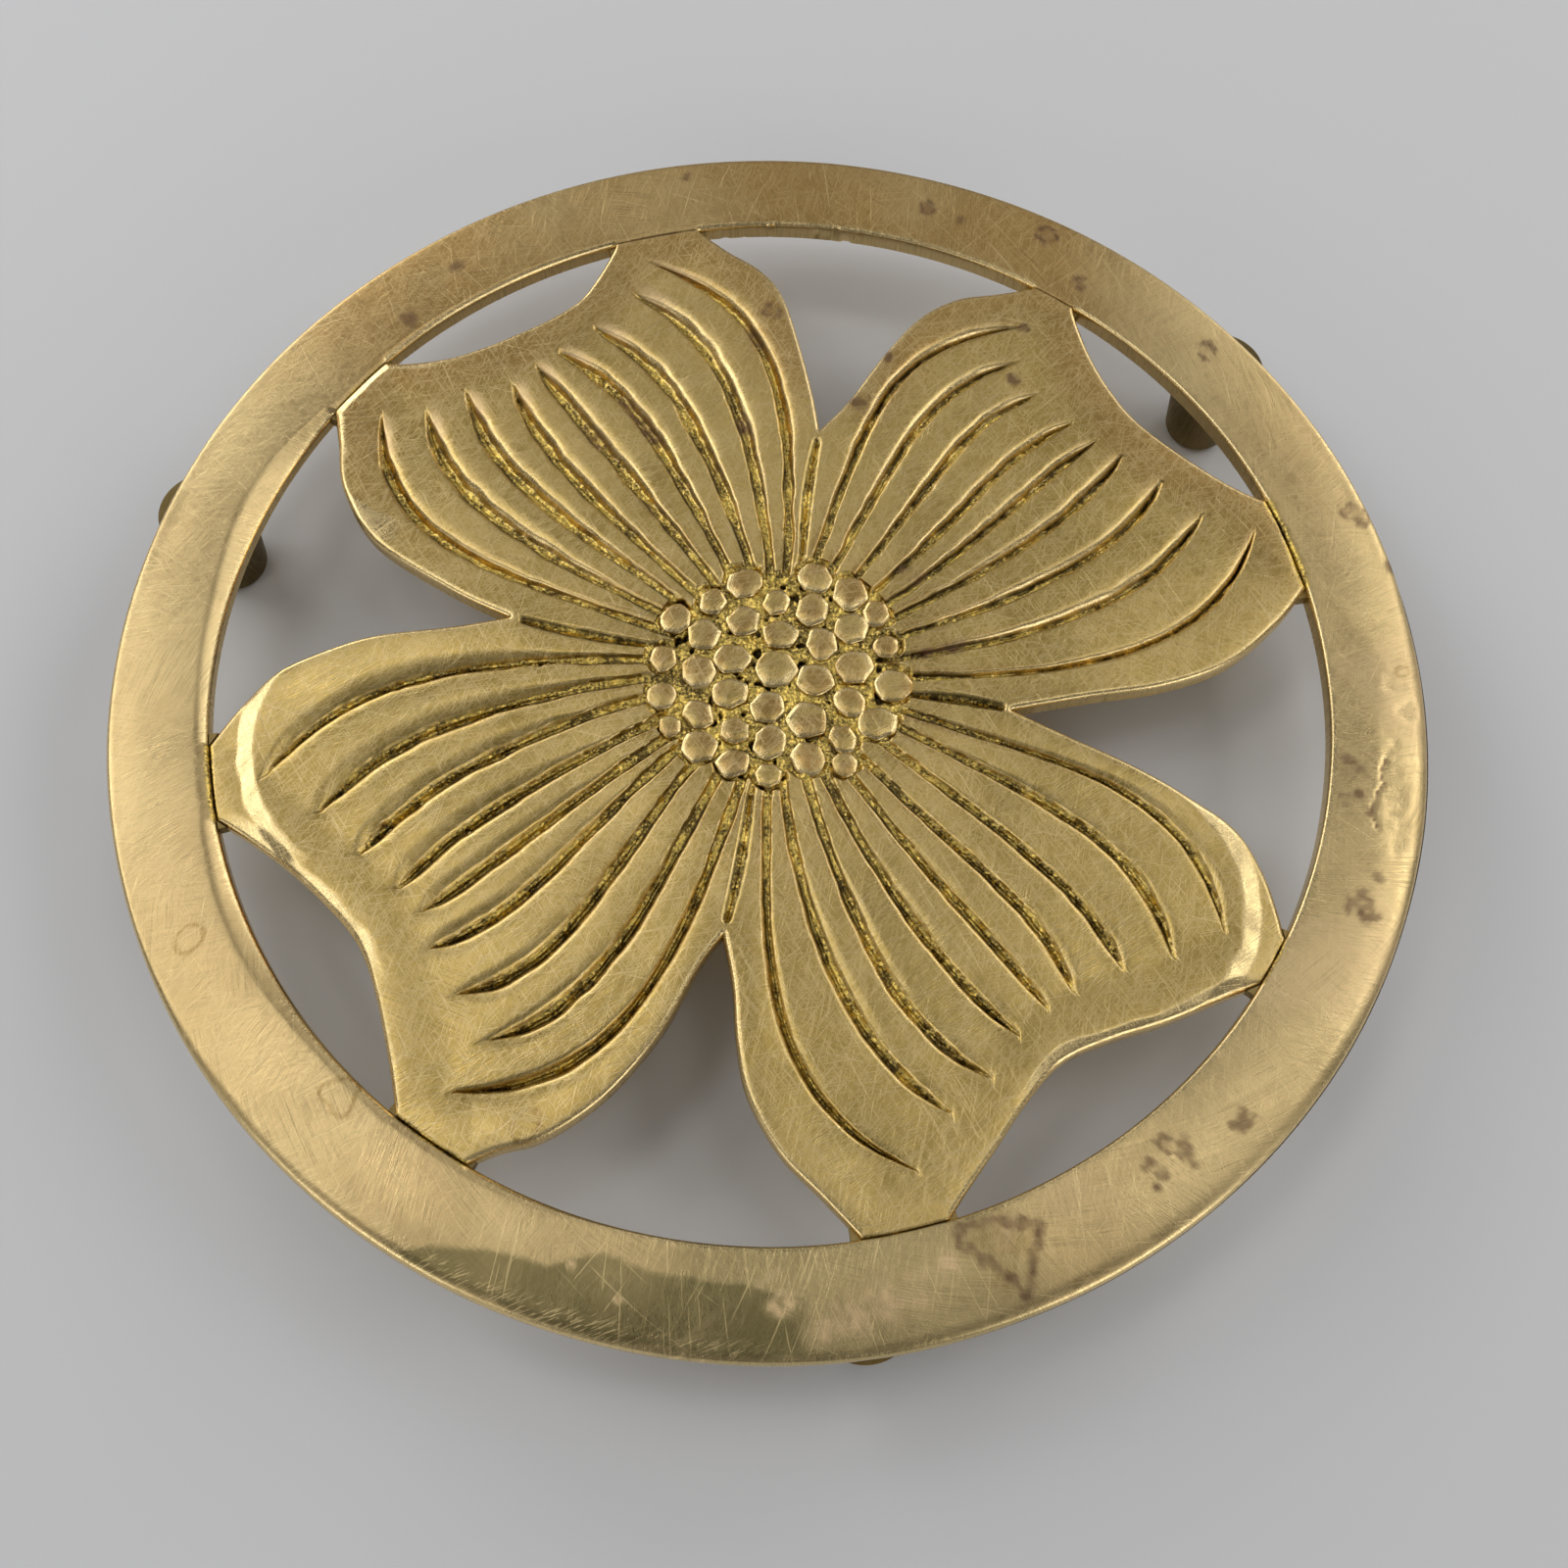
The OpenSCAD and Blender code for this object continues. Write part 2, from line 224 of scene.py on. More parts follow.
def spin_fine(bm, outline, middle, closed, coarse, cuts):
    """Spins an outline in coarse steps, splits each one and pushes the new points out to their circles."""
    verts = [bm.verts.new((middle[0] + x, middle[1], z)) for x, z in outline]
    after = verts[1:] + verts[:1] if closed else verts[1:]
    edges = [bm.edges.new((a, b)) for a, b in zip(verts, after)]
    bmesh.ops.spin(bm, geom=verts + edges, cent=(*middle, 0), axis=(0, 0, 1), angle=math.tau,
                   steps=coarse, use_merge=True)
    same = 0.001 * MM
    bmesh.ops.remove_doubles(bm, verts=bm.verts, dist=same)
    rings = []
    for edge in bm.edges:
        a, b = [v.co for v in edge.verts]
        reach = (a.xy - Vector(middle)).length - (b.xy - Vector(middle)).length
        if abs(a.z - b.z) < same and abs(reach) < same:
            rings.append(edge)
    bmesh.ops.subdivide_edges(bm, edges=rings, cuts=cuts, use_grid_fill=True)
    bmesh.ops.recalc_face_normals(bm, faces=bm.faces)
    points = coords(bm)
    away = points[:, :2] - np.array(middle)
    step = math.tau / coarse
    past_middle = np.arctan2(away[:, 1], away[:, 0]) % step - step / 2
    points[:, :2] = np.array(middle) + away * (np.cos(past_middle) / math.cos(step / 2))[:, None]
    return points


def new_object(name, data):
    """Puts an object into the scene."""
    made = bpy.data.objects.new(name, data)
    bpy.context.collection.objects.link(made)
    return made


def finish_piece(name, bm, material, node_name, marks):
    """Turns a bmesh into a smooth piece that rides on the trivet and stands for a CAD node."""
    mesh = bpy.data.meshes.new(name)
    bm.to_mesh(mesh)
    bm.free()
    for mark, values in marks.items():
        layer = mesh.attributes.new(mark, "FLOAT", "POINT")
        layer.data.foreach_set("value", np.asarray(values, dtype=np.float32))
    mesh.materials.append(material)
    mesh.shade_smooth()
    mesh.set_sharp_from_angle(angle=math.radians(62))
    piece = new_object(name, mesh)
    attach(piece, "root")
    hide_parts(node_name)


def round_off(distance, radius):
    """Drop of a rounded edge at a distance inside it."""
    inside = np.clip(radius - distance, 0, radius)
    return radius - np.sqrt(radius**2 - inside**2)


def lobe_spans(bearing):
    """Where the rim meets a lobe, and the width of the groove between them there."""
    joined = np.zeros(len(bearing))
    width = np.full(len(bearing), 0.5 * MM)
    for ends, widths in zip(lobes, joint_w):
        for start, stop, w in zip(ends[::2], ends[1::2], widths):
            here = arc(bearing, start + 0.3, stop - 0.3, 0.5)
            joined = most(joined, here)
            width = width + (w * MM - width) * here
    return joined, width


def joint_marks(points, joined, distance, width):
    """Gold floor of the groove between a lobe and the rim, and the thin, broken line of grime in it."""
    floor = joined * fall(0.3, 0.9, distance / width) * ramp(0.35 * MM, 0.6 * MM, width)
    broken = ramp(-0.7, 0.2, lumps(points, 2.2, shift=0.65))
    return floor, joined * fall(0.05 * MM, 0.3 * MM, distance) * broken


def strip_width(bearing, least, strips):
    """Width of the strip that is taken off along an edge of the rim."""
    width = least
    for start, stop, soft, more in strips:
        width = width + more * arc(bearing, start, stop, soft)
    return MM * width


def shape_rim(points):
    """Crowns the band, rounds its edges and adds the grinding, nicks and pits of the real rim."""
    bearing = bearing_of(points)
    radius = np.hypot(points[:, 0], points[:, 1])
    inward = radius - opening_r
    outward = rim_r - radius
    across = held(inward / band_w)
    on_top = points[:, 2] > crown_z - 0.1 * MM

    crown = crown_h * (2 * across - 1) ** 2
    joined, joint = lobe_spans(bearing)
    joint = joint * (1 + 0.3 * joined * lumps(points, 2.5, shift=0.2))
    inner_round = round_off(inward, joint) * (joint_depth * joined + 1 - joined)
    ground_w = strip_width(bearing, 0.1, ground_strips) * (1 + 0.35 * lumps(points, 18, 1, shift=0.15))
    to_facet = ground_w - inward
    ground = 0.30 * (to_facet + np.sqrt(to_facet**2 + (0.25 * MM) ** 2)) * (1 - 0.5 * joined)
    filed_w = strip_width(bearing, 1.2, filed_strips)
    filed = 0.30 * np.clip(filed_w - outward, 0, None) ** 2 / filed_w
    waves = 0.09 * MM * lumps(points, 26) + 0.03 * MM * lumps(points, 8, shift=0.3)

    # The right-hand side has a ridge down it, and beyond the ridge the lumpy, cracked casting skin
    bent = (bearing + 180) % 360 - 180
    past_ridge = (across - np.interp(bent, ridge_bearings, ridge_across)) * band_w
    ridged = arc(bearing, -46, 8, 6)
    crease = 0.032 * np.sqrt(past_ridge**2 + (0.35 * MM) ** 2) * ridged
    skin = arc(bearing, -17, 1, 5) * ramp(-0.6 * MM, 0.6 * MM, past_ridge)
    skin = skin * ramp(0.4 * MM, 2.5 * MM, outward)
    hollows = ramp(-0.1, 0.7, lumps(points, 3.2, 3, shift=0.5))
    to_crack = edge_distance(points[:, :2], np.array(crack) * MM) + 0.12 * MM * lumps(points, 0.8)
    cracked = fall(0.08 * MM, 0.30 * MM, to_crack)
    pits = MM * (0.16 * skin * hollows + 0.2 * cracked)

    edge_free = ramp(0, 3 * MM, inward) * ramp(0, 3 * MM, outward)
    corners = inner_round + ground + filed + round_off(outward, 0.7 * MM)
    drop = crown + corners + pits + crease + (waves + skim) * edge_free
    points[:, 2] -= np.clip(drop, 0, None) * on_top

    wobble = MM * (0.04 + 0.12 * np.abs(lumps(points, 30, shift=0.7)))
    nicked = arc(bearing, 84, 97, 3) * ramp(0.35, 0.6, lumps(points, 1.6, shift=0.9))
    outer = ramp(band_w - 1.2 * MM, band_w, inward)
    inner = fall(0, 1.2 * MM, inward)
    pull = 1 - (wobble * outer - (0.5 * wobble + 0.3 * MM * nicked) * inner * (1 - joined)) / radius
    points[:, :2] *= pull[:, None]

    # The front of the rim is darker behind a wavy edge, scuffed along the outside, with pale dried
    # marks beside it
    starts = np.interp(bearing, dark_front_bearings, dark_front_across) + 0.05 * lumps(points, 5, 3, shift=0.45)
    dull = arc(bearing, 240, 274, 3) * ramp(starts - 0.03, starts + 0.03, across)
    dull *= ramp(0.5 * MM, 1.5 * MM, outward + 0.5 * MM * lumps(points, 3))
    dull *= 0.85 + 0.2 * lumps(points, 7, 3, shift=0.05)
    dull = most(dull, 0.35 * arc(bearing, 266, 291, 5))
    scuffed = arc(bearing, 232, 266, 8) * fall(1.5 * MM, 4.5 * MM, outward)
    pale = spot_mask(points, pale_spots)
    scratched = fall(0.15 * MM, 0.35 * MM, edge_distance(points[:, :2], np.array(long_scratch) * MM))
    hazy = 0.4 * arc(bearing, 300, 372, 20) * ramp(-0.2, 0.5, lumps(points, 15))
    to_stain = edge_distance(points[:, :2], np.array(stain_edge) * MM)
    to_stain += 0.45 * MM * lumps(points, 1.1, shift=0.3)
    blotchy = 0.65 + 0.45 * lumps(points, 1.0, shift=0.75)
    stained = fall(0.3 * MM, 1.1 * MM, to_stain) * blotchy
    drops = most(outline_mask(points), 0.5 * spot_mask(points, [(33.8, -83.2, 5, 0)]))
    joint_floor, joint_line = joint_marks(points, joined, inward, joint)
    return points, {
        "cast": skin * hollows,
        "warm": most(brown_tarnish_and_shade(points), 0.8 * joint_floor),
        "stain": 0.8 * most(spot_mask(points, rim_spots), cracked, stained),
        "dull": held(dull) * on_top * (1 - pale),
        "pale": most(pale, scratched, hazy) * on_top,
        "groove": joint_floor * on_top,
        "grime_and_shade": most(joint_line * on_top * 0.6, skin * ramp(0.75, 1.0, hollows) * 0.2),
        "outline": drops,
        "scuffed": scuffed * on_top,
        "wear_and_highlight": fall(0.3 * MM, 1.1 * MM, np.minimum(inward + MM * joined, outward))
    }


def brown_tarnish_and_shade(points):
    """How brown and dark the brass is painted: most at the back and the upper left, tarnish with painted
    shade.
    """
    bearing = bearing_of(points)
    reach = ramp(45 * MM, 80 * MM, np.hypot(points[:, 0], points[:, 1]))
    patchy = 0.75 + 0.35 * lumps(points, 20, 3, shift=0.85)
    return held(reach * (arc(bearing, 62, 140, 22) + 0.25) * patchy)


def make_rim(material):
    """Spins the band's outline round the trivet's middle, then shapes it."""
    near_edge = [x * MM for x in (0, 0.07, 0.17, 0.3, 0.46, 0.65, 0.9, 1.2, 1.6)]
    flat_steps = 26
    low_z = crown_z - 1.7 * MM
    bm = bmesh.new()
    flat_w = band_w - 2 * near_edge[-1]
    tops = near_edge + [near_edge[-1] + flat_w * i / flat_steps for i in range(1, flat_steps)]
    tops += [band_w - x for x in reversed(near_edge)]
    wall = [under_z, (under_z + low_z) / 2, low_z]
    outline = [(opening_r, z) for z in wall] + [(opening_r + x, crown_z) for x in tops]
    outline += [(rim_r, z) for z in reversed(wall)]
    points, marks = shape_rim(spin_fine(bm, outline, (0, 0), closed=True, coarse=100, cuts=14))
    set_coords(bm, points)
    finish_piece("rim_band", bm, material, "rim", marks)


def add(tree, kind, inputs=None, **settings):
    """Adds a shader node. Each input is a value, or a socket to link from."""
    made = tree.nodes.new("ShaderNode" + kind)
    for key, value in settings.items():
        setattr(made, key, value)
    for key, value in (inputs or {}).items():
        socket = made.inputs[key]
        if isinstance(value, bpy.types.NodeSocket):
            tree.links.new(value, socket)
        else:
            socket.default_value = value
    return made


def maths(tree, operation, *values):
    return add(tree, "Math", dict(enumerate(values)), operation=operation).outputs[0]


def times(tree, first, second):
    return maths(tree, "MULTIPLY", first, second)


# Inputs 2 and 3 of a Mix node are grey values, and 6 and 7 are colours
def blend(tree, share, first, second):
    return add(tree, "Mix", {"Factor": share, 2: first, 3: second}).outputs[0]


def blend_colour(tree, share, first, second):
    return add(tree, "Mix", {"Factor": share, 6: first, 7: second}, data_type="RGBA").outputs[2]


def rise(tree, value, low, high, start=0.0, stop=1.0):
    """Maps a grey value from low..high to start..stop, held at the ends."""
    limits = {"Value": value, "From Min": low, "From Max": high, "To Min": start, "To Max": stop}
    return add(tree, "MapRange", limits, interpolation_type="SMOOTHSTEP").outputs["Result"]


def grey_noise(tree, place, size, detail=2.0, rough=0.5):
    """Grey noise with lumps of the given size in millimetres."""
    inputs = {"Vector": place, "Scale": 1 / (size * MM), "Detail": detail, "Roughness": rough}
    return add(tree, "TexNoise", inputs).outputs["Fac"]


def strokes(tree, place, turn, width, length):
    """Noise drawn out into brush strokes, in millimetres, that run at an angle from +X, in degrees."""
    turned = add(tree, "Mapping", {"Vector": place, "Rotation": (0, 0, math.radians(-turn))})
    scale = (1 / length, 1 / width, 1 / length)
    drawn = add(tree, "Mapping", {"Vector": turned.outputs[0], "Scale": scale})
    return grey_noise(tree, drawn.outputs[0], 1)


def fine_lines(tree, place, turns, width, length, low, high):
    """Fine lines in several directions. More of them show if low and high are lower."""
    lines = 0.0
    for turn in turns:
        drawn = rise(tree, strokes(tree, place, turn, width, length), low, high)
        lines = maths(tree, "MAXIMUM", lines, drawn)
    return lines


def mark_of(tree, name):
    return add(tree, "Attribute", attribute_name=name).outputs["Fac"]


def coat(tree, tone, where, strength, colour):
    """Lays a colour over the tone where a grey socket or the mark of that name is bright."""
    if isinstance(where, str):
        where = mark_of(tree, where)
    return blend_colour(tree, times(tree, where, strength), tone, colour)


def round_the_rim(tree, place):
    """Coordinates that run round the rim in X and across its band in Y."""
    parts = add(tree, "SeparateXYZ", {0: place}).outputs
    turn = maths(tree, "ARCTAN2", parts[1], parts[0])
    length = times(tree, turn, rim_r - band_w / 2)
    squares = [times(tree, part, part) for part in parts[:2]]
    radius = maths(tree, "SQRT", maths(tree, "ADD", *squares))
    return add(tree, "CombineXYZ", {0: length, 1: radius, 2: parts[2]}).outputs[0]


# Colours of the brass, from scrubbed metal to the tarnish and painted shade of the hollows, painted
# highlights and glints, and the stains
scrubbed_brass_and_highlight = (0.82, 0.63, 0.31, 1)
tan_brass = (0.70, 0.52, 0.25, 1)
petal_bright = (0.74, 0.525, 0.175, 1)
petal_olive = (0.56, 0.39, 0.115, 1)
tarnish_and_shade_brown = (0.50, 0.30, 0.095, 1)
glint_gold = (0.78, 0.56, 0.13, 1)
olive_floor_and_shade = (0.42, 0.295, 0.08, 1)
front_dark_olive = (0.22, 0.185, 0.075, 1)
dried_water_and_highlight = (0.84, 0.60, 0.34, 1)
water_edge = (0.42, 0.27, 0.09, 1)
brown_stain = (0.15, 0.08, 0.05, 1)
dark_grime_and_shade = (0.05, 0.035, 0.015, 1)


def brass(name, turns, on_rim=False, tarnish_and_shade=0.0):
    """Brushed and scratched brass. The turns are the directions of the brush strokes."""
    made = bpy.data.materials.new(name)
    made.use_nodes = True
    tree = made.node_tree
    shader = tree.nodes["Principled BSDF"]
    place = add(tree, "TexCoord").outputs["Object"]
    brushed = round_the_rim(tree, place) if on_rim else place
    patches = grey_noise(tree, place, 16)
    wide_patches = grey_noise(tree, place, 30, 3.0)

    brush = strokes(tree, brushed, turns[0], 0.16, 5)
    for turn, spread in zip(turns[1:], (0.5, 0.56)):
        other = strokes(tree, brushed, turn, 0.18, 6)
        brush = blend(tree, rise(tree, patches, spread - 0.1, spread + 0.1), brush, other)
    scratch = fine_lines(tree, brushed, [turn + 9 for turn in turns], 0.35, 16, 0.66, 0.72)
    hairs = fine_lines(tree, place, (52, 128, 12, 80), 0.13, 4.5, 0.58, 0.66)
    groove = mark_of(tree, "groove")

    # Tarnish, painted shade, dried water and painted highlights lie on the bare brass, and brushing and
    # scratches cut through them
    plain, bright = (tan_brass, scrubbed_brass_and_highlight) if on_rim else (petal_olive, petal_bright)
    tone = blend_colour(tree, rise(tree, wide_patches, 0.35, 0.65), plain, bright)
    tone = coat(tree, tone, "warm", 0.9, tarnish_and_shade_brown)
    tone = coat(tree, tone, "hollow", 0.35, olive_floor_and_shade)
    tone = coat(tree, tone, "wear_and_highlight", 0.9, scrubbed_brass_and_highlight)
    tone = coat(tree, tone, "pale", 0.8, dried_water_and_highlight)
    tone = coat(tree, tone, "outline", 1.0, water_edge)
    tone = blend_colour(tree, rise(tree, brush, 0.25, 0.55, 0.35, 0.0), tone, dark_grime_and_shade)
    tone = coat(tree, tone, hairs, 0.4 if on_rim else 0.7, scrubbed_brass_and_highlight)
    tone = coat(tree, tone, "dull", 0.9, front_dark_olive)
    tone = coat(tree, tone, scratch, 0.5, scrubbed_brass_and_highlight)
    if on_rim:
        scuffs = fine_lines(tree, place, [24], 0.22, 2.2, 0.54, 0.60)
        tone = coat(tree, tone, "scuffed", scuffs, scrubbed_brass_and_highlight)

    # Groove floors are olive, with golden specks painted as glints of the light bouncing in them, and
    # darker specks
    tone = coat(tree, tone, groove, 0.9, olive_floor_and_shade)
    specks = grey_noise(tree, place, 0.40, 3.0, 0.6)
    uneven = grey_noise(tree, place, 3.5)
    glints = rise(tree, maths(tree, "ADD", specks, times(tree, uneven, 0.5)), 0.71, 0.82)
    tone = coat(tree, tone, glints, groove, glint_gold)
    dark_specks = rise(tree, maths(tree, "ADD", specks, times(tree, uneven, 0.7)), 0.84, 0.68)
    tone = coat(tree, tone, times(tree, dark_specks, groove), 0.8, dark_grime_and_shade)
    # Feet and webs are painted darker: tarnish, and painted shade under the rim and in narrow corners
    if tarnish_and_shade:
        tone = blend_colour(tree, rise(tree, wide_patches, 0.3, 0.7, tarnish_and_shade, tarnish_and_shade - 0.2), tone, dark_grime_and_shade)
    # Grime, and painted shade at the feet of walls, round the seeds and in pits
    tone = coat(tree, tone, "grime_and_shade", 1.0, dark_grime_and_shade)
    tone = coat(tree, tone, "stain", 1.0, brown_stain)

    rough = maths(tree, "ADD", rise(tree, patches, 0.3, 0.7, 0.28, 0.36), 0.25 * tarnish_and_shade)
    rough = maths(tree, "ADD", rough, rise(tree, brush, 0.3, 0.7, 0.05, -0.03))
    for mark, rougher in (("stain", 0.2), ("pale", 0.12), ("wear_and_highlight", -0.08)):
        rough = maths(tree, "ADD", rough, times(tree, mark_of(tree, mark), rougher))

    cuts = maths(tree, "ADD", times(tree, scratch, 0.35), times(tree, hairs, 0.25))
    height = maths(tree, "SUBTRACT", times(tree, brush, 0.5), cuts)
    grain = times(tree, grey_noise(tree, place, 0.35, 3.0, 0.6), 4.0)
    gritty = times(tree, maths(tree, "MAXIMUM", groove, mark_of(tree, "cast")), 0.8)
    height = blend(tree, gritty, height, grain)
    bump = add(tree, "Bump", {"Height": height, "Distance": 0.03 * MM, "Strength": 0.8})

    shader.inputs["Metallic"].default_value = 1.0
    for socket, name in ((tone, "Base Color"), (rough, "Roughness"), (bump.outputs[0], "Normal")):
        tree.links.new(socket, shader.inputs[name])
    return made


make_rim(brass("rim_brass", (70, 105, 20), on_rim=True))

# Petals: four dished, two-lobed castings with nine hand-cut vein grooves each. Borders and ribs are
# brushed bright, and the groove floors keep the gritty casting skin, olive with golden glints painted in.
# Each petal joins its neighbours along two seams, and the rim at both lobes.
head_low, head_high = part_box("seed_head")
head_r = (head_high.x - head_low.x) / 2
head_c = np.array([(head_low.x + head_high.x) / 2, (head_low.y + head_high.y) / 2])
petal_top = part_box("petal_back_left")[1].z
dish_depth = 0.5 * MM
groove_depth = [0.9 * MM, 0.95 * MM, 1.15 * MM, 0.9 * MM]

petal_names = ["petal_back_right", "petal_back_left", "petal_front_left", "petal_front_right"]

# Seams between petals: bearing at the seed head, then bearing and reach of the notch
seams = [(-8.5, -8, 0.435), (81.5, 82.5, 0.52), (170.5, 170.5, 0.49), (261.5, 263, 0.505)]
seam_bow = 0.02
seam_depth = 0.8 * MM

# Outer edge of each petal from the notch to the rim, on the low and high sides: bearing, reach
low_sides = [
    [(-3, 0.565), (0, 0.705), (3.5, 0.825), (8.5, 0.93)],
    [(84.7, 0.59), (88, 0.705), (91, 0.825), (94, 0.89), (98, 0.942)],
    [(174.5, 0.59), (177.3, 0.715), (180, 0.8), (183.2, 0.885), (187.1, 0.946)],
    [(266, 0.59), (267.5, 0.683), (269.5, 0.77), (273.3, 0.86), (277.3, 0.93)]
]
high_sides = [
    [(78.3, 0.596), (75, 0.716), (72, 0.827), (68.5, 0.9), (64.3, 0.95)],
    [(167.8, 0.602), (163.3, 0.778), (158, 0.885), (152.8, 0.952)],
    [(260, 0.567), (257.2, 0.688), (253.3, 0.812), (249, 0.91), (245.5, 0.96)],
    [(348.8, 0.537), (346.5, 0.652), (344.3, 0.756), (342, 0.858), (338.3, 0.925), (335, 0.97)]
]

# Hollow edge between the two lobes
tips = [
    [(27.8, 0.945), (40, 0.885), (50, 0.928)], [(117.6, 0.9), (127.2, 0.886), (136, 0.923)],
    [(206.7, 0.915), (218.4, 0.863), (228, 0.912)], [(295.3, 0.924), (306.3, 0.856), (317.6, 0.916)]
]

# Vein grooves: bearing at the seed head, bearing at six tenths of the way, bearing and reach of the tip
veins = [
    [(-0.5, 7, 20.5, 0.94), (9.5, 16, 25, 0.865), (20, 24.5, 31.5, 0.835),
     (29.5, 33, 37.5, 0.805), (36.5, 40.5, 41.5, 0.785), (44.5, 47.5, 46, 0.78),
     (55, 56.5, 52.5, 0.785), (66, 65, 58, 0.82), (75, 72.5, 60.5, 0.895)],
    [(88, 94, 108, 0.945), (96.5, 101.5, 111, 0.875), (106, 110.5, 118, 0.83),
     (116.5, 118.5, 124, 0.81), (126, 127.5, 128, 0.805), (136.5, 136, 132.5, 0.795),
     (145, 143.5, 138, 0.84), (154, 151.5, 143.5, 0.865), (161.5, 159.5, 147.5, 0.925)],
    [(177.5, 184, 195.5, 0.915), (186.5, 192.5, 201.5, 0.835), (195.5, 201.5, 208.5, 0.795),
     (207.5, 210.5, 215, 0.76), (216.5, 218.5, 219.5, 0.745), (223.5, 226.5, 224, 0.775),
     (233.5, 236, 231, 0.79), (245.5, 244.5, 237.5, 0.815), (256, 251.5, 238, 0.915)],
    [(268.5, 273.5, 286.5, 0.905), (275.5, 283, 292, 0.835), (286, 290.5, 298, 0.81),
     (295, 299.5, 303.5, 0.77), (305, 308, 308.5, 0.76), (314, 316, 312.5, 0.765),
     (325.5, 324, 319, 0.795), (335.5, 333.5, 324, 0.85), (343.5, 342, 330, 0.895)]
]
bend_share = 0.6
hook_power = 4
spans = 10

# Shares of the way from the seed head to a petal's outer edge: where its lobe leaves the seam, where its
# grooves end, and where the points draw together for the rounded edge
notch_row = 0.36
vein_end = 0.84
edge_row = 0.975

# Each groove is cut steep on one side and rolls over softly on the other: +1 where the soft lip is on
# the side with the higher bearing
lip_side = [1, -1, 1, -1]

# How far the hollow beside the steep side reaches at the outer end of a petal's grooves
lean_w = [1.6 * MM, 1.0 * MM, 3.2 * MM, 1.5 * MM]

# How dark the dish of each petal is painted on its ribs: shade, with some tarnish
dish_shade_share = [0.6, 0.2, 1.0, 1.0]

# How strongly a highlight is painted on the outer ends of the soft lips
gleam_share = [0.2, 0.9, 0.0, 0.0]

# Side of the floor that is painted dark, grime with the shade at the foot of the wall: +1 at the soft lip
foot_side = [1, -1, 1, 1]

# Share of a groove's depth that the steep side takes, the rest being the hollow beside it, and how wide
# the steep side is
steep_share = [0.55, 0.70, 0.36, 0.62]
steep_w = 0.24 * MM

# How much narrower that hollow is from each groove to the next
lean_loss = [0.0, 0.0, 0.09, 0.0]

# Width of the groove floors in millimetres at the seed head, and how much wider they grow
floor_w = [(0.85, -0.05), (1.1, 0.5), (1.15, 0.0), (0.95, 0.1)]

# How much wider the soft lips grow, in millimetres, and how far the rib above each one rolls down to it
lip_more = [0.8, 0.8, 0.6, 0.3]
lip_roll = [0.34 * MM, 0.50 * MM, 0.50 * MM, 0.24 * MM]
lip_roll_w = [2.0 * MM, 2.8 * MM, 2.6 * MM, 1.5 * MM]

# Corners of the lobes that are filed down outside a circle: petal, x, y, radius, width of the slope,
# its depth, and the bearing from the circle's middle with the reach to either side, in millimetres
# and degrees
filed_corners = [
    (2, -54, -14, 22.7, 2.6, 0.70, 194, 34), (3, 50, -34.5, 19.6, 2.8, 0.60, 350, 58),
    (1, -54, 44, 22, 4.0, 0.35, 185, 60), (0, 56, 20, 27, 3.5, 0.35, 345, 40)
]

# Hollow edges that are filed too: petal, bearings where the facet starts and stops, and its width
filed_edges = [(2, 202, 221, 2.2 * MM), (3, 303, 325, 2.0 * MM), (1, 140, 152, 1.5 * MM)]

# Brown spots of the petals, and the pinholes of the front left one
petal_spots = [
    (-3, 66.5, 1.8, 0.5), (12.5, 49, 1.8, 0.4), (37.8, 55.6, 1.5, 0.3), (39.4, 65.8, 1.2, 0.5),
    (16.5, 58.5, 1.2, 0.3)
]
pinhole_spots = [(-56.6, -5.2, 0.7, 0), (-35.5, -0.8, 0.5, 0), (-55.5, -28, 0.8, 0), (-43.5, -28, 0.7, 0)]

# Darker stains that lie only along the grooves
vein_stains = [
    (-24.7, 46.1, 5.0, 0), (-21.5, 42, 4.0, 0), (-29.6, 40.5, 4.5, 0), (-9.7, 36, 2.6, 0),
    (-6.3, 44.4, 2.2, 0), (-5, 62.6, 4.2, 0), (-22, 27, 2.6, 0), (28, 6, 3.4, 0),
    (21, 17.5, 2.4, 0), (23, 5, 2.8, 0)
]


def at(bearing, reach):
    """A place at a bearing, as a share of the way out to the rim."""
    turn = np.radians(bearing)
    return opening_r * reach * np.array([math.cos(turn), math.sin(turn)])


def four_point(a, b, c, d, t):
    """Smooth curve from b to c, steered by the points before and after them."""
    return (2 * b + (c - a) * t + (2 * a - 5 * b + 4 * c - d) * t**2 + (3 * b - a - 3 * c + d) * t**3) / 2


def smooth_curve(knots, u):
    """Points of a smooth curve through the knots, with u from 0 at the first to 1 at the last."""
    knots = np.asarray(knots)
    last = len(knots) - 1
    i = np.clip(np.floor(u * last).astype(int), 0, last - 1)
    t = (u * last - i)[:, None]
    return four_point(knots[np.maximum(i - 1, 0)], knots[i], knots[i + 1], knots[np.minimum(i + 2, last)], t)


def side_line(seam, turn, shares, corner, s):
    """A petal's side: the seam from the seed head to the notch, then the outer edge of the lobe."""
    head_turn = math.radians(seam[0] + turn)
    start = head_c + head_r * np.array([math.cos(head_turn), math.sin(head_turn)])
    notch = at(seam[1] + turn, seam[2])
    run = notch - start
    t = held(s / notch_row)[:, None]
    on_seam = start + run * t + seam_bow * np.sin(math.pi * t) * np.array([-run[1], run[0]])
    knots = [notch] + [at(*share) for share in shares] + [at(corner, 1)]
    on_lobe = smooth_curve(knots, held((s - notch_row) / (1 - notch_row)))
    return np.where((s <= notch_row)[:, None], on_seam, on_lobe)


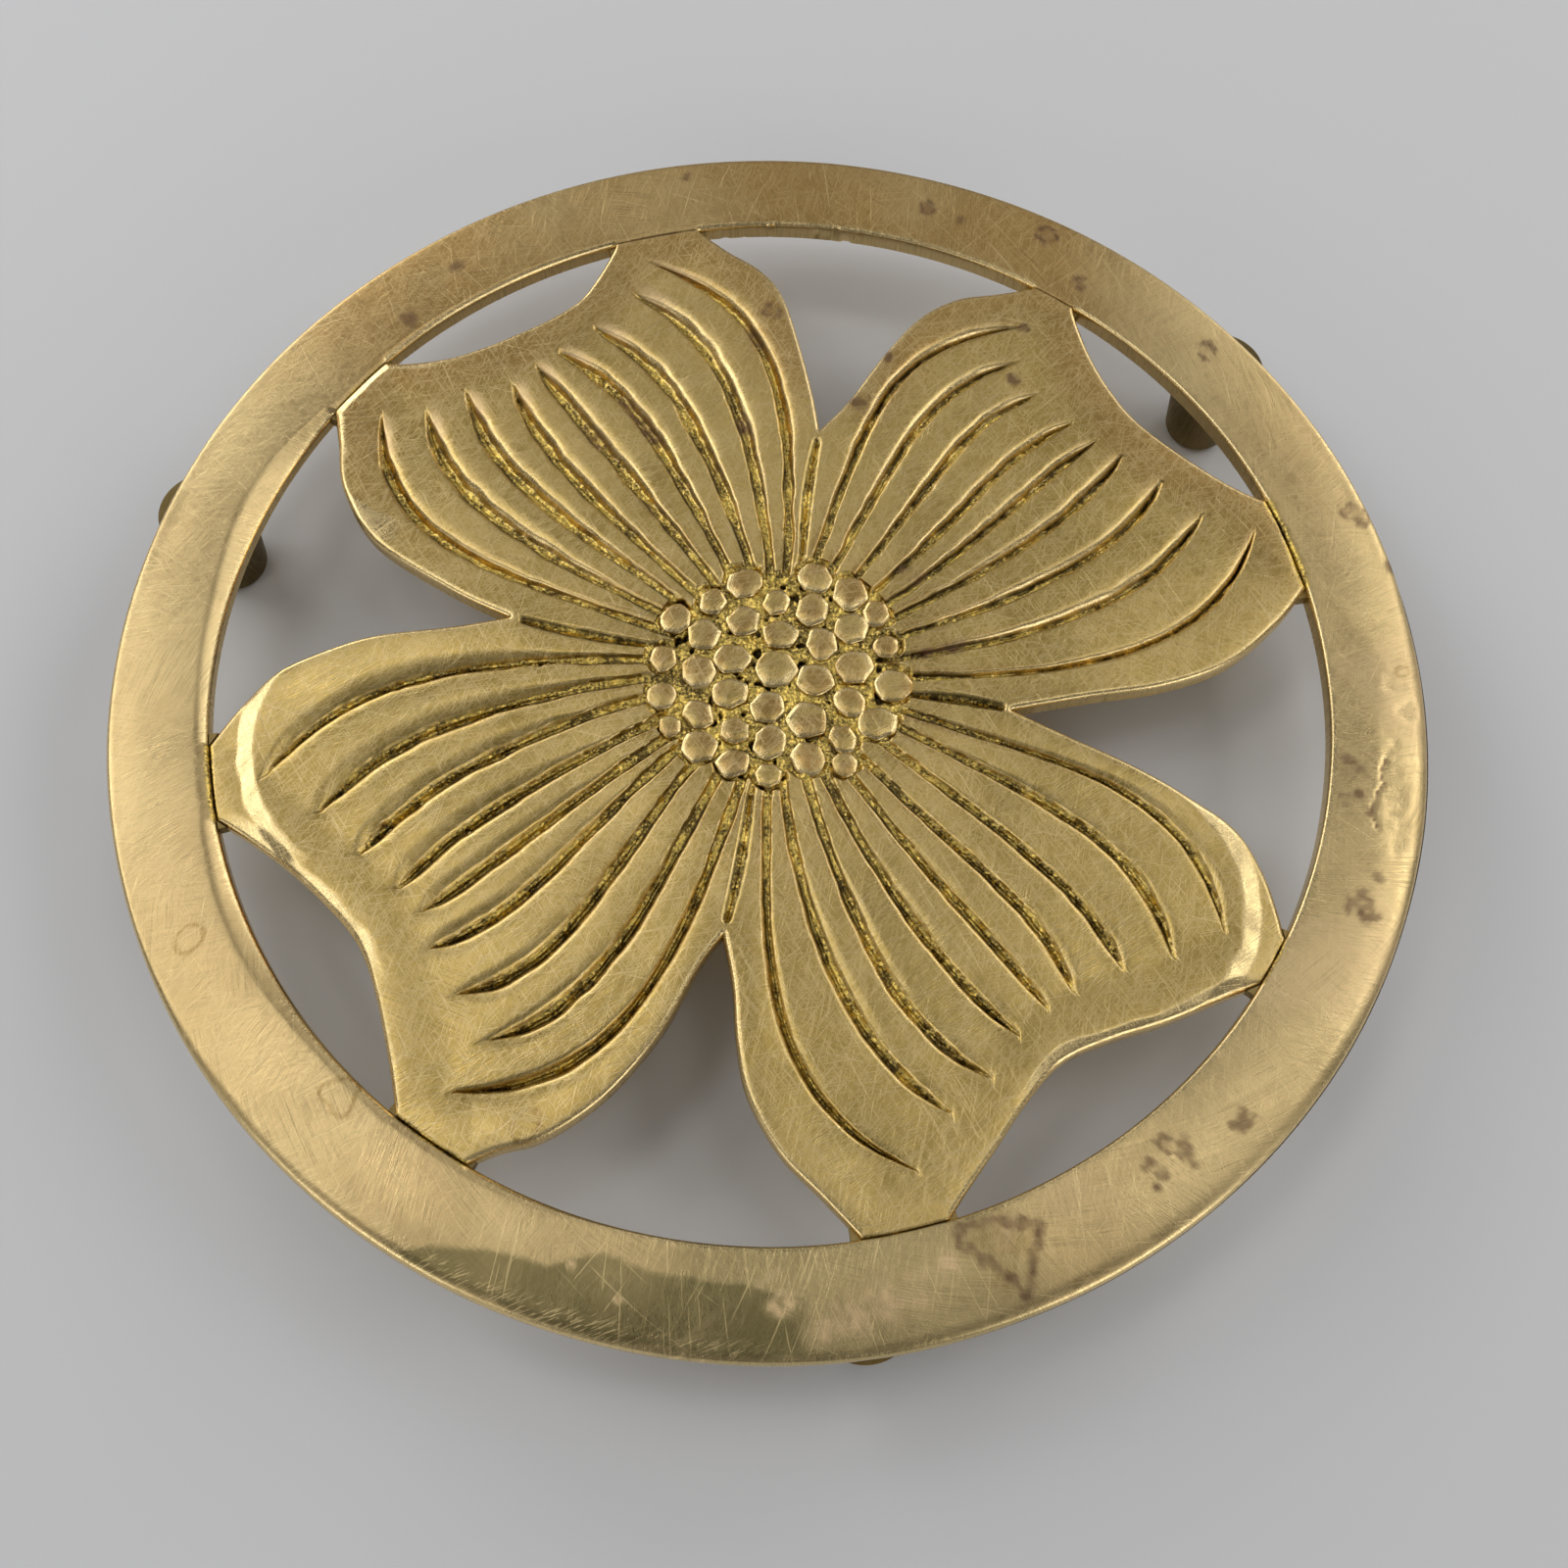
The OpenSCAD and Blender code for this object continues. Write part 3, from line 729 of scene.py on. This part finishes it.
def tip_line(p, u):
    """A petal's hollow edge between its two lobes."""
    knots = [at(lobes[p][1], 1)] + [at(*share) for share in tips[p]] + [at(lobes[p][2], 1)]
    return smooth_curve(knots, u)


def vein_line(p, k, s):
    """The middle of one groove, carried on from its tip to the petal's outer edge."""
    start, bend, tip, reach = veins[p][k - 1]
    t = held(s / vein_end)
    swing = tip - start
    hook = (bend - start - bend_share * swing) / (bend_share**hook_power - bend_share)
    turn = np.radians(start + (swing - hook) * t + hook * t**hook_power)
    out = head_r + (reach * opening_r - head_r) * t
    groove = head_c + np.stack([out * np.cos(turn), out * np.sin(turn)], axis=-1)
    edge = tip_line(p, np.array([(k - 1) / (spans - 2)]))
    beyond = held((s - vein_end) / (1 - vein_end))[:, None]
    return groove + (edge - groove) * beyond


def soft_least(a, b, blur):
    """The smaller of two distances, rounded where they are alike."""
    return -blur * np.log(np.exp(-a / blur) + np.exp(-b / blur))


def petal_plan(p, per_span, rows):
    """Places of a petal's surface points, with their line numbers k, shares s and the span widths."""
    s = np.concatenate([np.linspace(0, edge_row, rows), np.linspace(edge_row, 1, 10)[1:]])
    turn = 360 if p == 3 else 0
    lines = [side_line(seams[p], 0, low_sides[p], lobes[p][0], s)]
    lines += [vein_line(p, k, s) for k in range(1, spans)]
    lines += [side_line(seams[(p + 1) % 4], turn, high_sides[p], lobes[p][3], s)]
    lines = np.array(lines)
    even = np.arange(per_span) / per_span
    shares = 0.45 * even + 0.55 * (1 - np.cos(math.pi * even)) / 2
    columns = []
    for span in range(spans):
        inner = 1 <= span <= spans - 2
        a = lines[max(span - 1, 1)]
        b, c = lines[span], lines[span + 1]
        d = lines[min(span + 2, spans - 1)]
        bow = ramp(0.05, 0.3, s)[:, None] if inner else 0.0
        for f in shares:
            straight = b + (c - b) * f
            columns.append(straight + (four_point(a, b, c, d, f) - straight) * bow)
    plan = np.array(columns + [lines[-1]])
    ks = np.append(np.add.outer(np.arange(spans), shares), spans)
    plan[:, 0] = head_c + head_r * (plan[:, 0] - head_c) / np.hypot(*(plan[:, 0] - head_c).T)[:, None]
    touching = (ks <= 1) | (ks >= spans - 1)
    ends = plan[touching, -1]
    plan[touching, -1] = opening_r * ends / np.hypot(*ends.T)[:, None]
    return plan, ks, s, np.hypot(*np.moveaxis(np.diff(lines, axis=0), -1, 0))


def groove_shape(points, offset, t, p, vein=1):
    """Depth of a groove, and masks for its gritty floor, its foot, painted dark for grime and shade,
    and its lip, painted bright for wear and a highlight.

    The offset in metres is above 0 on the side of the soft lip. t runs from 0 at the head to 1 at the tip.
    """
    drift = offset + 0.10 * MM * lumps(points, 3.0, shift=0.1 * p)
    swell = 1 + 0.30 * lumps(points, 4.0, shift=0.1 * p + 0.5)
    start_w, more_w = floor_w[p]
    floor_half = 0.5 * MM * (start_w + more_w * ramp(0, 0.75, t)) * swell * np.sqrt(fall(0.8, 1.02, t))
    ending = fall(0.93, 1.04, t)

    # On one side the rib rolls down to a soft lip
    lip_w = MM * (0.45 + lip_more[p] * ramp(0, 0.6, t)) * (1 - 0.75 * ramp(0.88, 1.03, t))
    roll_w = lip_roll_w[p] * (0.3 + 0.7 * ramp(0.1, 0.6, t))
    past_lip = held((drift - floor_half) / lip_w)
    past_roll = held((drift - floor_half) / roll_w)
    rolled = lip_roll[p] * ramp(0.1, 0.6, t) * np.where(drift > 0, (1 - past_roll) ** 2, 0)

    # On the other side a steep wall ends in a wide hollow
    lean = lean_w[p] * (1 - lean_loss[p] * (vein - 1))
    lean = 0.25 * MM + lean * ramp(0.05, 0.6, t) * (1 - 0.5 * ramp(0.92, 1.04, t))
    past_steep = held((-drift - floor_half) / steep_w)
    past_lean = held((-drift - floor_half) / lean)
    steep = steep_share[p] + (0.75 - steep_share[p]) * fall(0.05, 0.4, t)
    steep_side = steep * fall(0, 1, past_steep) + (1 - steep) * (1 - past_lean) ** 2

    wall = np.where(drift > 0, (1 - past_lip) ** 2, steep_side)
    depth = (groove_depth[p] * (0.75 + 0.25 * ramp(0.05, 0.5, t)) * wall + rolled) * ending
    from_middle = np.abs(drift) / np.maximum(floor_half, 0.01 * MM)
    floor = fall(0.75, 1.3, from_middle) * fall(0.98, 1.03, t)
    # The foot of the wall is painted dark: grime, and the shade in the crease
    foot = bell(drift, foot_side[p] * floor_half, 0.30 * MM) * ending
    grime_and_shade = foot * ramp(-0.8, 0.1, lumps(points, 6, 3, shift=0.8))
    # The lip is painted bright: wear, and a highlight
    lip = bell(drift - floor_half, 0.45 * lip_w, 0.45 * lip_w) * ending * ramp(0, 0.3, t)
    return depth, floor, grime_and_shade, lip


def grit(points):
    """The rough skin of the groove floors."""
    coarse = lumps(points, 1.0, 1, shift=0.2)
    return 0.15 * MM * (coarse + lumps(points, 0.55, shift=0.6))


def filing(p, points, to_free):
    """How much was filed off a petal's corners and its hollow edge, and the mask of those facets."""
    drop = np.zeros(len(points))
    filed = np.zeros(len(points))
    for petal, x, y, radius, width, depth, toward, reach in filed_corners:
        if petal == p:
            beyond = points[:, :2] / MM - np.array([x, y])
            past = np.hypot(*beyond.T) + 0.3 * lumps(points, 3.5, shift=0.55) - radius
            here = arc(bearing_of(beyond), toward - reach, toward + reach, 15)
            facet = ramp(-0.3, 0.3, past) * fall(width - 0.3, width + 0.3, past)
            drop += depth * MM * held(past / width) * here
            filed = most(filed, facet * here)
    for petal, start, stop, width in filed_edges:
        if petal == p:
            past = width * (1 + 0.25 * lumps(points, 6, shift=0.25)) - to_free
            here = arc(bearing_of(points), start, stop, 4)
            drop += 0.24 * np.clip(past, 0, None) * here
            filed = most(filed, ramp(-0.3 * MM, 0.3 * MM, past) * here)
    return drop, filed


def petal_heights(p, plan, ks, s, widths):
    """Heights of a petal's upper face, and the masks for its finish."""
    count, rows = plan.shape[:2]
    flat = plan.reshape(-1, 2)
    points = np.column_stack([flat, np.zeros(len(flat))])
    k = np.repeat(ks, rows)
    row = np.tile(np.arange(rows), count)
    along = s[row]
    t = along / vein_end

    beyond_notch = s >= notch_row
    free_edge = np.concatenate([plan[0, beyond_notch], plan[1:-1, -1], plan[-1, beyond_notch][::-1]])
    to_free = edge_distance(flat, free_edge[::2])
    to_seam = np.minimum(*[edge_distance(flat, plan[side, ~beyond_notch][::8]) for side in (0, -1)])
    inside = soft_least(to_free, to_seam + 2.5 * MM, 1.5 * MM)
    uneven = inside + 0.7 * MM * lumps(points, 9, shift=0.35)
    hollow = ramp(1.0 * MM, 9.5 * MM, uneven) * ramp(0, 0.34, along)
    filed_off, filed = filing(p, points, to_free)

    vein = np.clip(np.round(k), 1, spans - 1).astype(int)
    across = k - vein
    span_w = np.where(across < 0, widths[vein - 1, row], widths[vein, row])
    offset = across * span_w * lip_side[p]
    depth, floor, grime_and_shade, lip = groove_shape(points, offset, t, p, vein)

    # Ribs fall away a little towards their soft lips, and less on the other side
    rib_share = held(np.abs(offset) / span_w * 2)
    roll = np.where(offset > 0, 0.28, 0.12) * MM * (1 - rib_share) ** 2 * fall(0.9, 1.05, t)
    roll *= 0.25 + 0.75 * ramp(0.05, 0.4, along)

    seam_t = held(along / notch_row)
    seam_half = MM * (0.30 + 0.45 * np.sin(math.pi * seam_t))
    seam_cut = seam_depth * held(1 - to_seam / (seam_half + 0.4 * MM)) ** 1.2
    floor = most(floor, fall(0.7, 1.3, to_seam / seam_half))
    grime_and_shade = most(grime_and_shade, 0.8 * bell(to_seam, 0.9 * seam_half, 0.18 * MM))

    waves = 0.07 * MM * lumps(points, 14, shift=0.4) * ramp(0, 3 * MM, inside) * ramp(0, 0.12, along)
    height = petal_top - dish_depth * hollow - filed_off - most(depth, seam_cut) - roll + waves - skim
    height += grit(points) * floor

    to_rim = opening_r - np.hypot(*flat.T)
    joins_rim, joint = lobe_spans(bearing_of(points))
    joint = joint * (1 + 0.3 * lumps(points, 2.5, shift=0.2))
    joins_rim *= to_rim < 2 * MM
    height -= joint_depth * round_off(to_rim, joint) * joins_rim
    height -= round_off(to_free, 0.9 * MM) * (1 - joins_rim)
    joint_floor, joint_line = joint_marks(points, joins_rim, to_rim, joint)

    # The back is painted browner along its edges and lips, tarnish with painted shade, and some outer lips
    # get a painted highlight
    browned = fall(2.5 * MM, 12 * MM, to_free + 2 * MM * lumps(points, 8, 3, shift=0.95))
    browned *= arc(bearing_of(points), 24, 150, 18) * ramp(40 * MM, 58 * MM, np.hypot(*flat.T))
    brown_lip = bell(offset, 1.1 * MM, 0.45 * MM) * fall(0.3, 0.75, along)
    browned = most(browned, brown_lip * (0.7 + 0.3 * lumps(points, 5, shift=0.05)))
    gleam = bell(t, 0.96, 0.05) * ramp(0.2 * MM, 0.7 * MM, offset) * fall(1.4 * MM, 3.0 * MM, offset)
    pinholes = spot_mask(points, pinhole_spots)
    in_groove = 0.95 * bell(offset, 0, 1.1 * MM) * spot_mask(points, vein_stains)
    rubbed = fall(0.3 * MM, 1.3 * MM, to_free) * (1 - 0.8 * joins_rim)
    return height - 0.6 * MM * pinholes, {
        "groove": most(floor, joint_floor),
        "grime_and_shade": most(grime_and_shade, 0.6 * joint_line, pinholes),
        # The dish is painted darker olive: painted shade, with some tarnish
        "hollow": hollow * dish_shade_share[p],
        "warm": most(0.3 * brown_tarnish_and_shade(points), 0.95 * browned, 0.8 * joint_floor),
        "stain": most(spot_mask(points, petal_spots), in_groove),
        # On the petals the pale mark is a painted highlight on the outer ends of some lips
        "pale": gleam * gleam_share[p],
        "outline": outline_mask(points),
        "wear_and_highlight": most(lip, filed, rubbed)
    }


def make_petal(p, material):
    """Bends a grid to the petal's plan and heights, then gives it walls and a flat underside."""
    plan, ks, s, widths = petal_plan(p, per_span=26, rows=196)
    height, marks = petal_heights(p, plan, ks, s, widths)
    count, rows = plan.shape[:2]
    bm = bmesh.new()
    bmesh.ops.create_grid(bm, x_segments=count - 1, y_segments=rows - 1, size=1)
    order = np.arange(count * rows).reshape(count, rows).T.reshape(-1)
    set_coords(bm, np.column_stack([plan.reshape(-1, 2), height])[order])
    edges = [e for e in bm.edges if e.is_boundary]
    for drop_to in (under_z + 0.3 * MM, under_z):
        made = bmesh.ops.extrude_edge_only(bm, edges=edges)["geom"]
        edges = [g for g in made if isinstance(g, bmesh.types.BMEdge)]
        for vert in {v for e in edges for v in e.verts}:
            vert.co.z = drop_to
    bmesh.ops.holes_fill(bm, edges=edges, sides=0)
    bmesh.ops.recalc_face_normals(bm, faces=bm.faces)
    padding = np.zeros(len(bm.verts) - count * rows)
    marks = {name: np.concatenate([values[order], padding]) for name, values in marks.items()}
    finish_piece(petal_names[p] + "_face", bm, material, petal_names[p], marks)


petal_brass = brass("petal_brass", (35, 110, 160))
for p in range(4):
    make_petal(p, petal_brass)

# Seed head: a round boss cast in one with the petals, whose ribs run on into it up to the outer seeds.
# The seeds stand on a rough olive floor with painted golden glints. Their tops are brushed, a little domed,
# and each leans its own way.
seed_top = head_high.z
head_floor = petal_top - 1.5 * MM

# Place and radius of each seed, as shares of the boss's radius
seeds = [
    (-0.28, 0.73, 0.12), (0.25, 0.8, 0.12), (0.52, 0.68, 0.13), (-0.51, 0.56, 0.1),
    (-0.03, 0.58, 0.1), (0.24, 0.53, 0.12), (0.72, 0.52, 0.1), (-0.78, 0.4, 0.11),
    (-0.27, 0.41, 0.12), (-0.56, 0.28, 0.12), (0.01, 0.31, 0.12), (0.32, 0.25, 0.12),
    (0.54, 0.39, 0.12), (0.8, 0.25, 0.09), (-0.85, 0.07, 0.1), (-0.34, 0.09, 0.12),
    (-0.58, -0.03, 0.12), (-0.01, 0.02, 0.14), (0.28, -0.05, 0.13), (0.57, 0.07, 0.13),
    (0.86, -0.07, 0.13), (-0.84, -0.24, 0.1), (-0.34, -0.19, 0.12), (-0.06, -0.29, 0.12),
    (0.23, -0.38, 0.14), (0.54, -0.22, 0.11), (0.75, -0.38, 0.13), (-0.56, -0.37, 0.11),
    (-0.76, -0.48, 0.08), (-0.29, -0.49, 0.1), (-0.03, -0.57, 0.12), (-0.54, -0.63, 0.12),
    (0.5, -0.52, 0.1), (-0.29, -0.75, 0.11), (0.25, -0.69, 0.12), (-0.03, -0.83, 0.09),
    (0.52, -0.72, 0.09)
]


def shape_head(points):
    """Raises the rib ends round the seeds and roughens the floor between them."""
    flat = points * np.array([1, 1, 0])
    away = flat[:, :2] - head_c
    radius = np.hypot(*away.T)
    bearing = np.degrees(np.arctan2(away[:, 1], away[:, 0]))
    to_seed = np.full(len(points), 1.0)
    for x, y, share in seeds:
        middle = head_r * np.array([x, y])
        to_seed = np.minimum(to_seed, np.hypot(*(away - middle).T) - share * head_r)
    ragged = 0.35 * MM * lumps(flat, 1.4, shift=0.15)
    rib = ramp(0.5 * MM, 1.1 * MM, to_seed + ragged)
    rib = rib * ramp(head_r - 4.6 * MM, head_r - 3.6 * MM, radius + 2 * ragged)
    cut, floor, grime_and_shade = np.zeros((3, len(points)))
    for p in range(4):
        for vein in veins[p]:
            turn = (bearing - vein[0] + 180) % 360 - 180
            near = np.abs(turn) < 20
            offset = np.radians(turn[near]) * radius[near] * lip_side[p]
            found = groove_shape(flat[near], offset, np.zeros(near.sum()), p)
            for kept, value in zip((cut, floor, grime_and_shade), found[:3]):
                kept[near] = most(kept[near], value)
        turn = (bearing - seams[p][0] + 180) % 360 - 180
        to_line = np.abs(np.radians(turn)) * radius
        cut = most(cut, seam_depth * held(1 - to_line / (0.7 * MM)) ** 1.2)
        floor = most(floor, fall(0.7, 1.3, to_line / (0.3 * MM)))
    floor = most(floor, fall(0.6, 0.95, rib))
    rib_z = petal_top - skim - cut
    skin_z = head_floor + MM * (0.24 * lumps(flat, 1.3, 3, shift=0.25) + 0.55)
    pits = 0.9 * MM * ramp(0.45, 0.75, lumps(flat, 1.7, shift=0.55)) * (1 - rib)
    upper = points[:, 2] > head_floor - 0.1 * MM
    target = most(skin_z + (rib_z - skin_z) * rib, skin_z) + grit(flat) * floor - pits
    points[:, 2] += (target - points[:, 2]) * upper
    # The feet of the seeds and the pits are painted dark: grime, and the shade in these crevices
    wall_foot = bell(to_seed, 0, 0.28 * MM) * ramp(-0.5, 0.4, lumps(flat, 2.5, shift=0.95))
    grime_and_shade = most(0.8 * grime_and_shade * rib, 0.8 * wall_foot, ramp(0.1 * MM, 0.5 * MM, pits))
    return points, {"groove": floor * upper, "grime_and_shade": grime_and_shade * upper}


def make_seed_head(material):
    """Spins the boss, shapes its upper face and stands the seeds on it."""
    rings = 90
    bm = bmesh.new()
    section = [(0, head_floor)] + [(head_r * i / rings, head_floor) for i in range(1, rings + 1)]
    section += [(head_r, under_z), (0, under_z)]
    middle = tuple(head_c.tolist())
    points, marks = shape_head(spin_fine(bm, section, middle, closed=False, coarse=60, cuts=7))
    set_coords(bm, points)
    seed_bm = bmesh.new()
    for x, y, share in seeds:
        make_seed(seed_bm, head_c[0] + x * head_r, head_c[1] + y * head_r, 1.14 * share * head_r)
    bmesh.ops.recalc_face_normals(seed_bm, faces=seed_bm.faces)
    seed_mesh = bpy.data.meshes.new("seeds")
    seed_bm.to_mesh(seed_mesh)
    seed_bm.free()
    bm.from_mesh(seed_mesh)
    bpy.data.meshes.remove(seed_mesh)
    seed_points = coords(bm)[len(points):]
    below = seed_top - seed_points[:, 2]
    # Seeds are painted darker low down, grime and shade, and brighter on their rounded edge, wear and a
    # highlight
    seed_marks = {
        "groove": np.zeros(len(below)),
        "grime_and_shade": ramp(0.55 * MM, 1.1 * MM, below),
        "warm": ramp(-0.5, 0.4, lumps(seed_points, 3)) * fall(0.2 * MM, 0.4 * MM, below),
        "wear_and_highlight": ramp(0.2 * MM, 0.38 * MM, below) * fall(0.5 * MM, 0.7 * MM, below)
    }
    blank = np.zeros(len(points))
    marks = {name: np.concatenate([marks.get(name, blank), values]) for name, values in seed_marks.items()}
    finish_piece("seed_head_boss", bm, material, "seed_head", marks)


# Rings of a seed from its side wall to its domed top: how far in, as a share of its radius, and how far
# below the top in millimetres
seed_steps = [
    (0, 0.80), (0.02, 0.60), (0.06, 0.46), (0.13, 0.35),
    (0.23, 0.25), (0.36, 0.17), (0.52, 0.10), (0.72, 0.05)
]


def make_seed(bm, x, y, radius):
    """One seed: an uneven, many-cornered outline pulled up from the floor, with a rounded edge."""
    verts = bmesh.ops.create_circle(bm, cap_ends=True, segments=48, radius=radius)["verts"]
    sides = random.choice((5, 6, 6, 7))
    phase = random.uniform(0, math.tau)
    long_way = random.uniform(0.02, 0.09)
    for vert in verts:
        turn = math.atan2(vert.co.y, vert.co.x)
        corner = (turn + phase) % (math.tau / sides) - math.pi / sides
        swell = 0.42 + 0.60 * math.cos(math.pi / sides) / math.cos(corner)
        swell += long_way * math.cos(2 * turn + phase) + 0.02 * math.cos(3 * turn + 2 * phase)
        swell += 0.012 * math.cos(7 * turn + 5 * phase)
        vert.co = (x + vert.co.x * swell, y + vert.co.y * swell, head_floor - 0.5 * MM)
    middle = Vector((x, y))
    top = verts[0].link_faces[0]
    outline = [v.co.xy for v in top.verts]
    lean = Vector((random.uniform(-0.06, 0.06), random.uniform(-0.06, 0.06)))
    for drawn_in, drop in seed_steps:
        made = bmesh.ops.extrude_face_region(bm, geom=[top])["geom"]
        top = [g for g in made if isinstance(g, bmesh.types.BMFace)][0]
        for vert, outer in zip(top.verts, outline):
            away = (outer - middle) * (1 - drawn_in)
            vert.co = (x + away.x, y + away.y, seed_top - drop * MM + lean.dot(away))


random.seed(11)
make_seed_head(petal_brass)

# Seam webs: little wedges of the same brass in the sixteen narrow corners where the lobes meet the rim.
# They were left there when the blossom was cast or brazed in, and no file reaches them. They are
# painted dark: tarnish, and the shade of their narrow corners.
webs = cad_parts["seam_webs"]
webs.data.materials.clear()
webs.data.materials.append(brass("web_brass", (40, 90, 140), tarnish_and_shade=0.7))

# Feet: three tapered brass stubs, cast in one with the rim. They were never brushed and are rough. They
# are painted nearly black: tarnish, and the shade under the rim.
foot_brass = brass("foot_brass", (80, 100, 90), tarnish_and_shade=0.85)
for name in ("foot_left", "foot_back_right", "foot_front"):
    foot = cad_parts[name]
    foot.data.materials.clear()
    foot.data.materials.append(foot_brass)

# Table: a plain pale floor, which is no piece of the trivet. Soft boxes stand to both sides of it, high up,
# behind it and in the four corners, and none hangs right overhead.
floor_mesh = bpy.data.meshes.new("table_top")
floor_mesh.from_pydata([(-3, -3, 0), (3, -3, 0), (3, 3, 0), (-3, 3, 0)], [], [(0, 1, 2, 3)])
table = new_object("table_top", floor_mesh)
table_paint = bpy.data.materials.new("table_paint")
table_paint.use_nodes = True
table_shader = table_paint.node_tree.nodes["Principled BSDF"]
table_shader.inputs["Base Color"].default_value = (0.72, 0.72, 0.73, 1)
table_shader.inputs["Roughness"].default_value = 0.7
floor_mesh.materials.append(table_paint)

# Square lamps that look at the trivet's middle: place and width in metres, and power in watts
soft_boxes = [
    ("left", (-0.97, 0.34, 0.80), 0.6, 2.9),
    ("right", (0.94, 0.23, 0.87), 0.6, 2.5),
    ("high_left", (-0.38, 0.22, 1.22), 0.3, 0.85),
    ("high_right", (0.37, 0.13, 1.24), 0.3, 0.6),
    ("near_left", (-0.65, -0.12, 1.06), 0.35, 0.9),
    ("back", (0, 0.95, 0.85), 0.8, 0.6),
    ("high_back", (0.63, 0.72, 0.80), 0.3, 0.4),
    ("back_left", (-0.76, 0.94, 0.48), 0.55, 3.0),
    ("back_right", (0.80, 0.88, 0.50), 0.5, 1.9),
    ("front_right", (0.86, -0.86, 0.44), 0.6, 2.5),
    ("front_left", (-0.86, -0.86, 0.44), 0.6, 2)
]
for name, place, size, power in soft_boxes:
    lamp = bpy.data.lights.new("box_" + name, "AREA")
    lamp.shape = "SQUARE"
    lamp.size = size
    lamp.energy = power
    holder = new_object(lamp.name, lamp)
    holder.location = place
    holder.rotation_euler = Vector(place).to_track_quat("Z", "Y").to_euler()

world = bpy.data.worlds.new("room")
world.use_nodes = True
background = world.node_tree.nodes["Background"]
background.inputs["Color"].default_value = (1, 1, 1, 1)
background.inputs["Strength"].default_value = 0.15
bpy.context.scene.world = world
bpy.context.scene.view_settings.view_transform = "Standard"

# Camera: above the front edge of the trivet, looking down steeply and turned a little to one side. Its
# place and angles are fitted to the outlines in the photograph.
camera_data = bpy.data.cameras.new("camera")
camera_data.lens = 36
camera_data.sensor_width = 36
camera = new_object("camera", camera_data)
elevation = math.radians(67.93)
roll = math.radians(2.56)
camera.matrix_world = (
    Matrix.Translation((2.54 * MM, -106.2 * MM, 234.9 * MM))
    @ Matrix.Rotation(math.pi / 2 - elevation, 4, "X")
    @ Matrix.Rotation(roll, 4, "Z")
)
bpy.context.scene.camera = camera
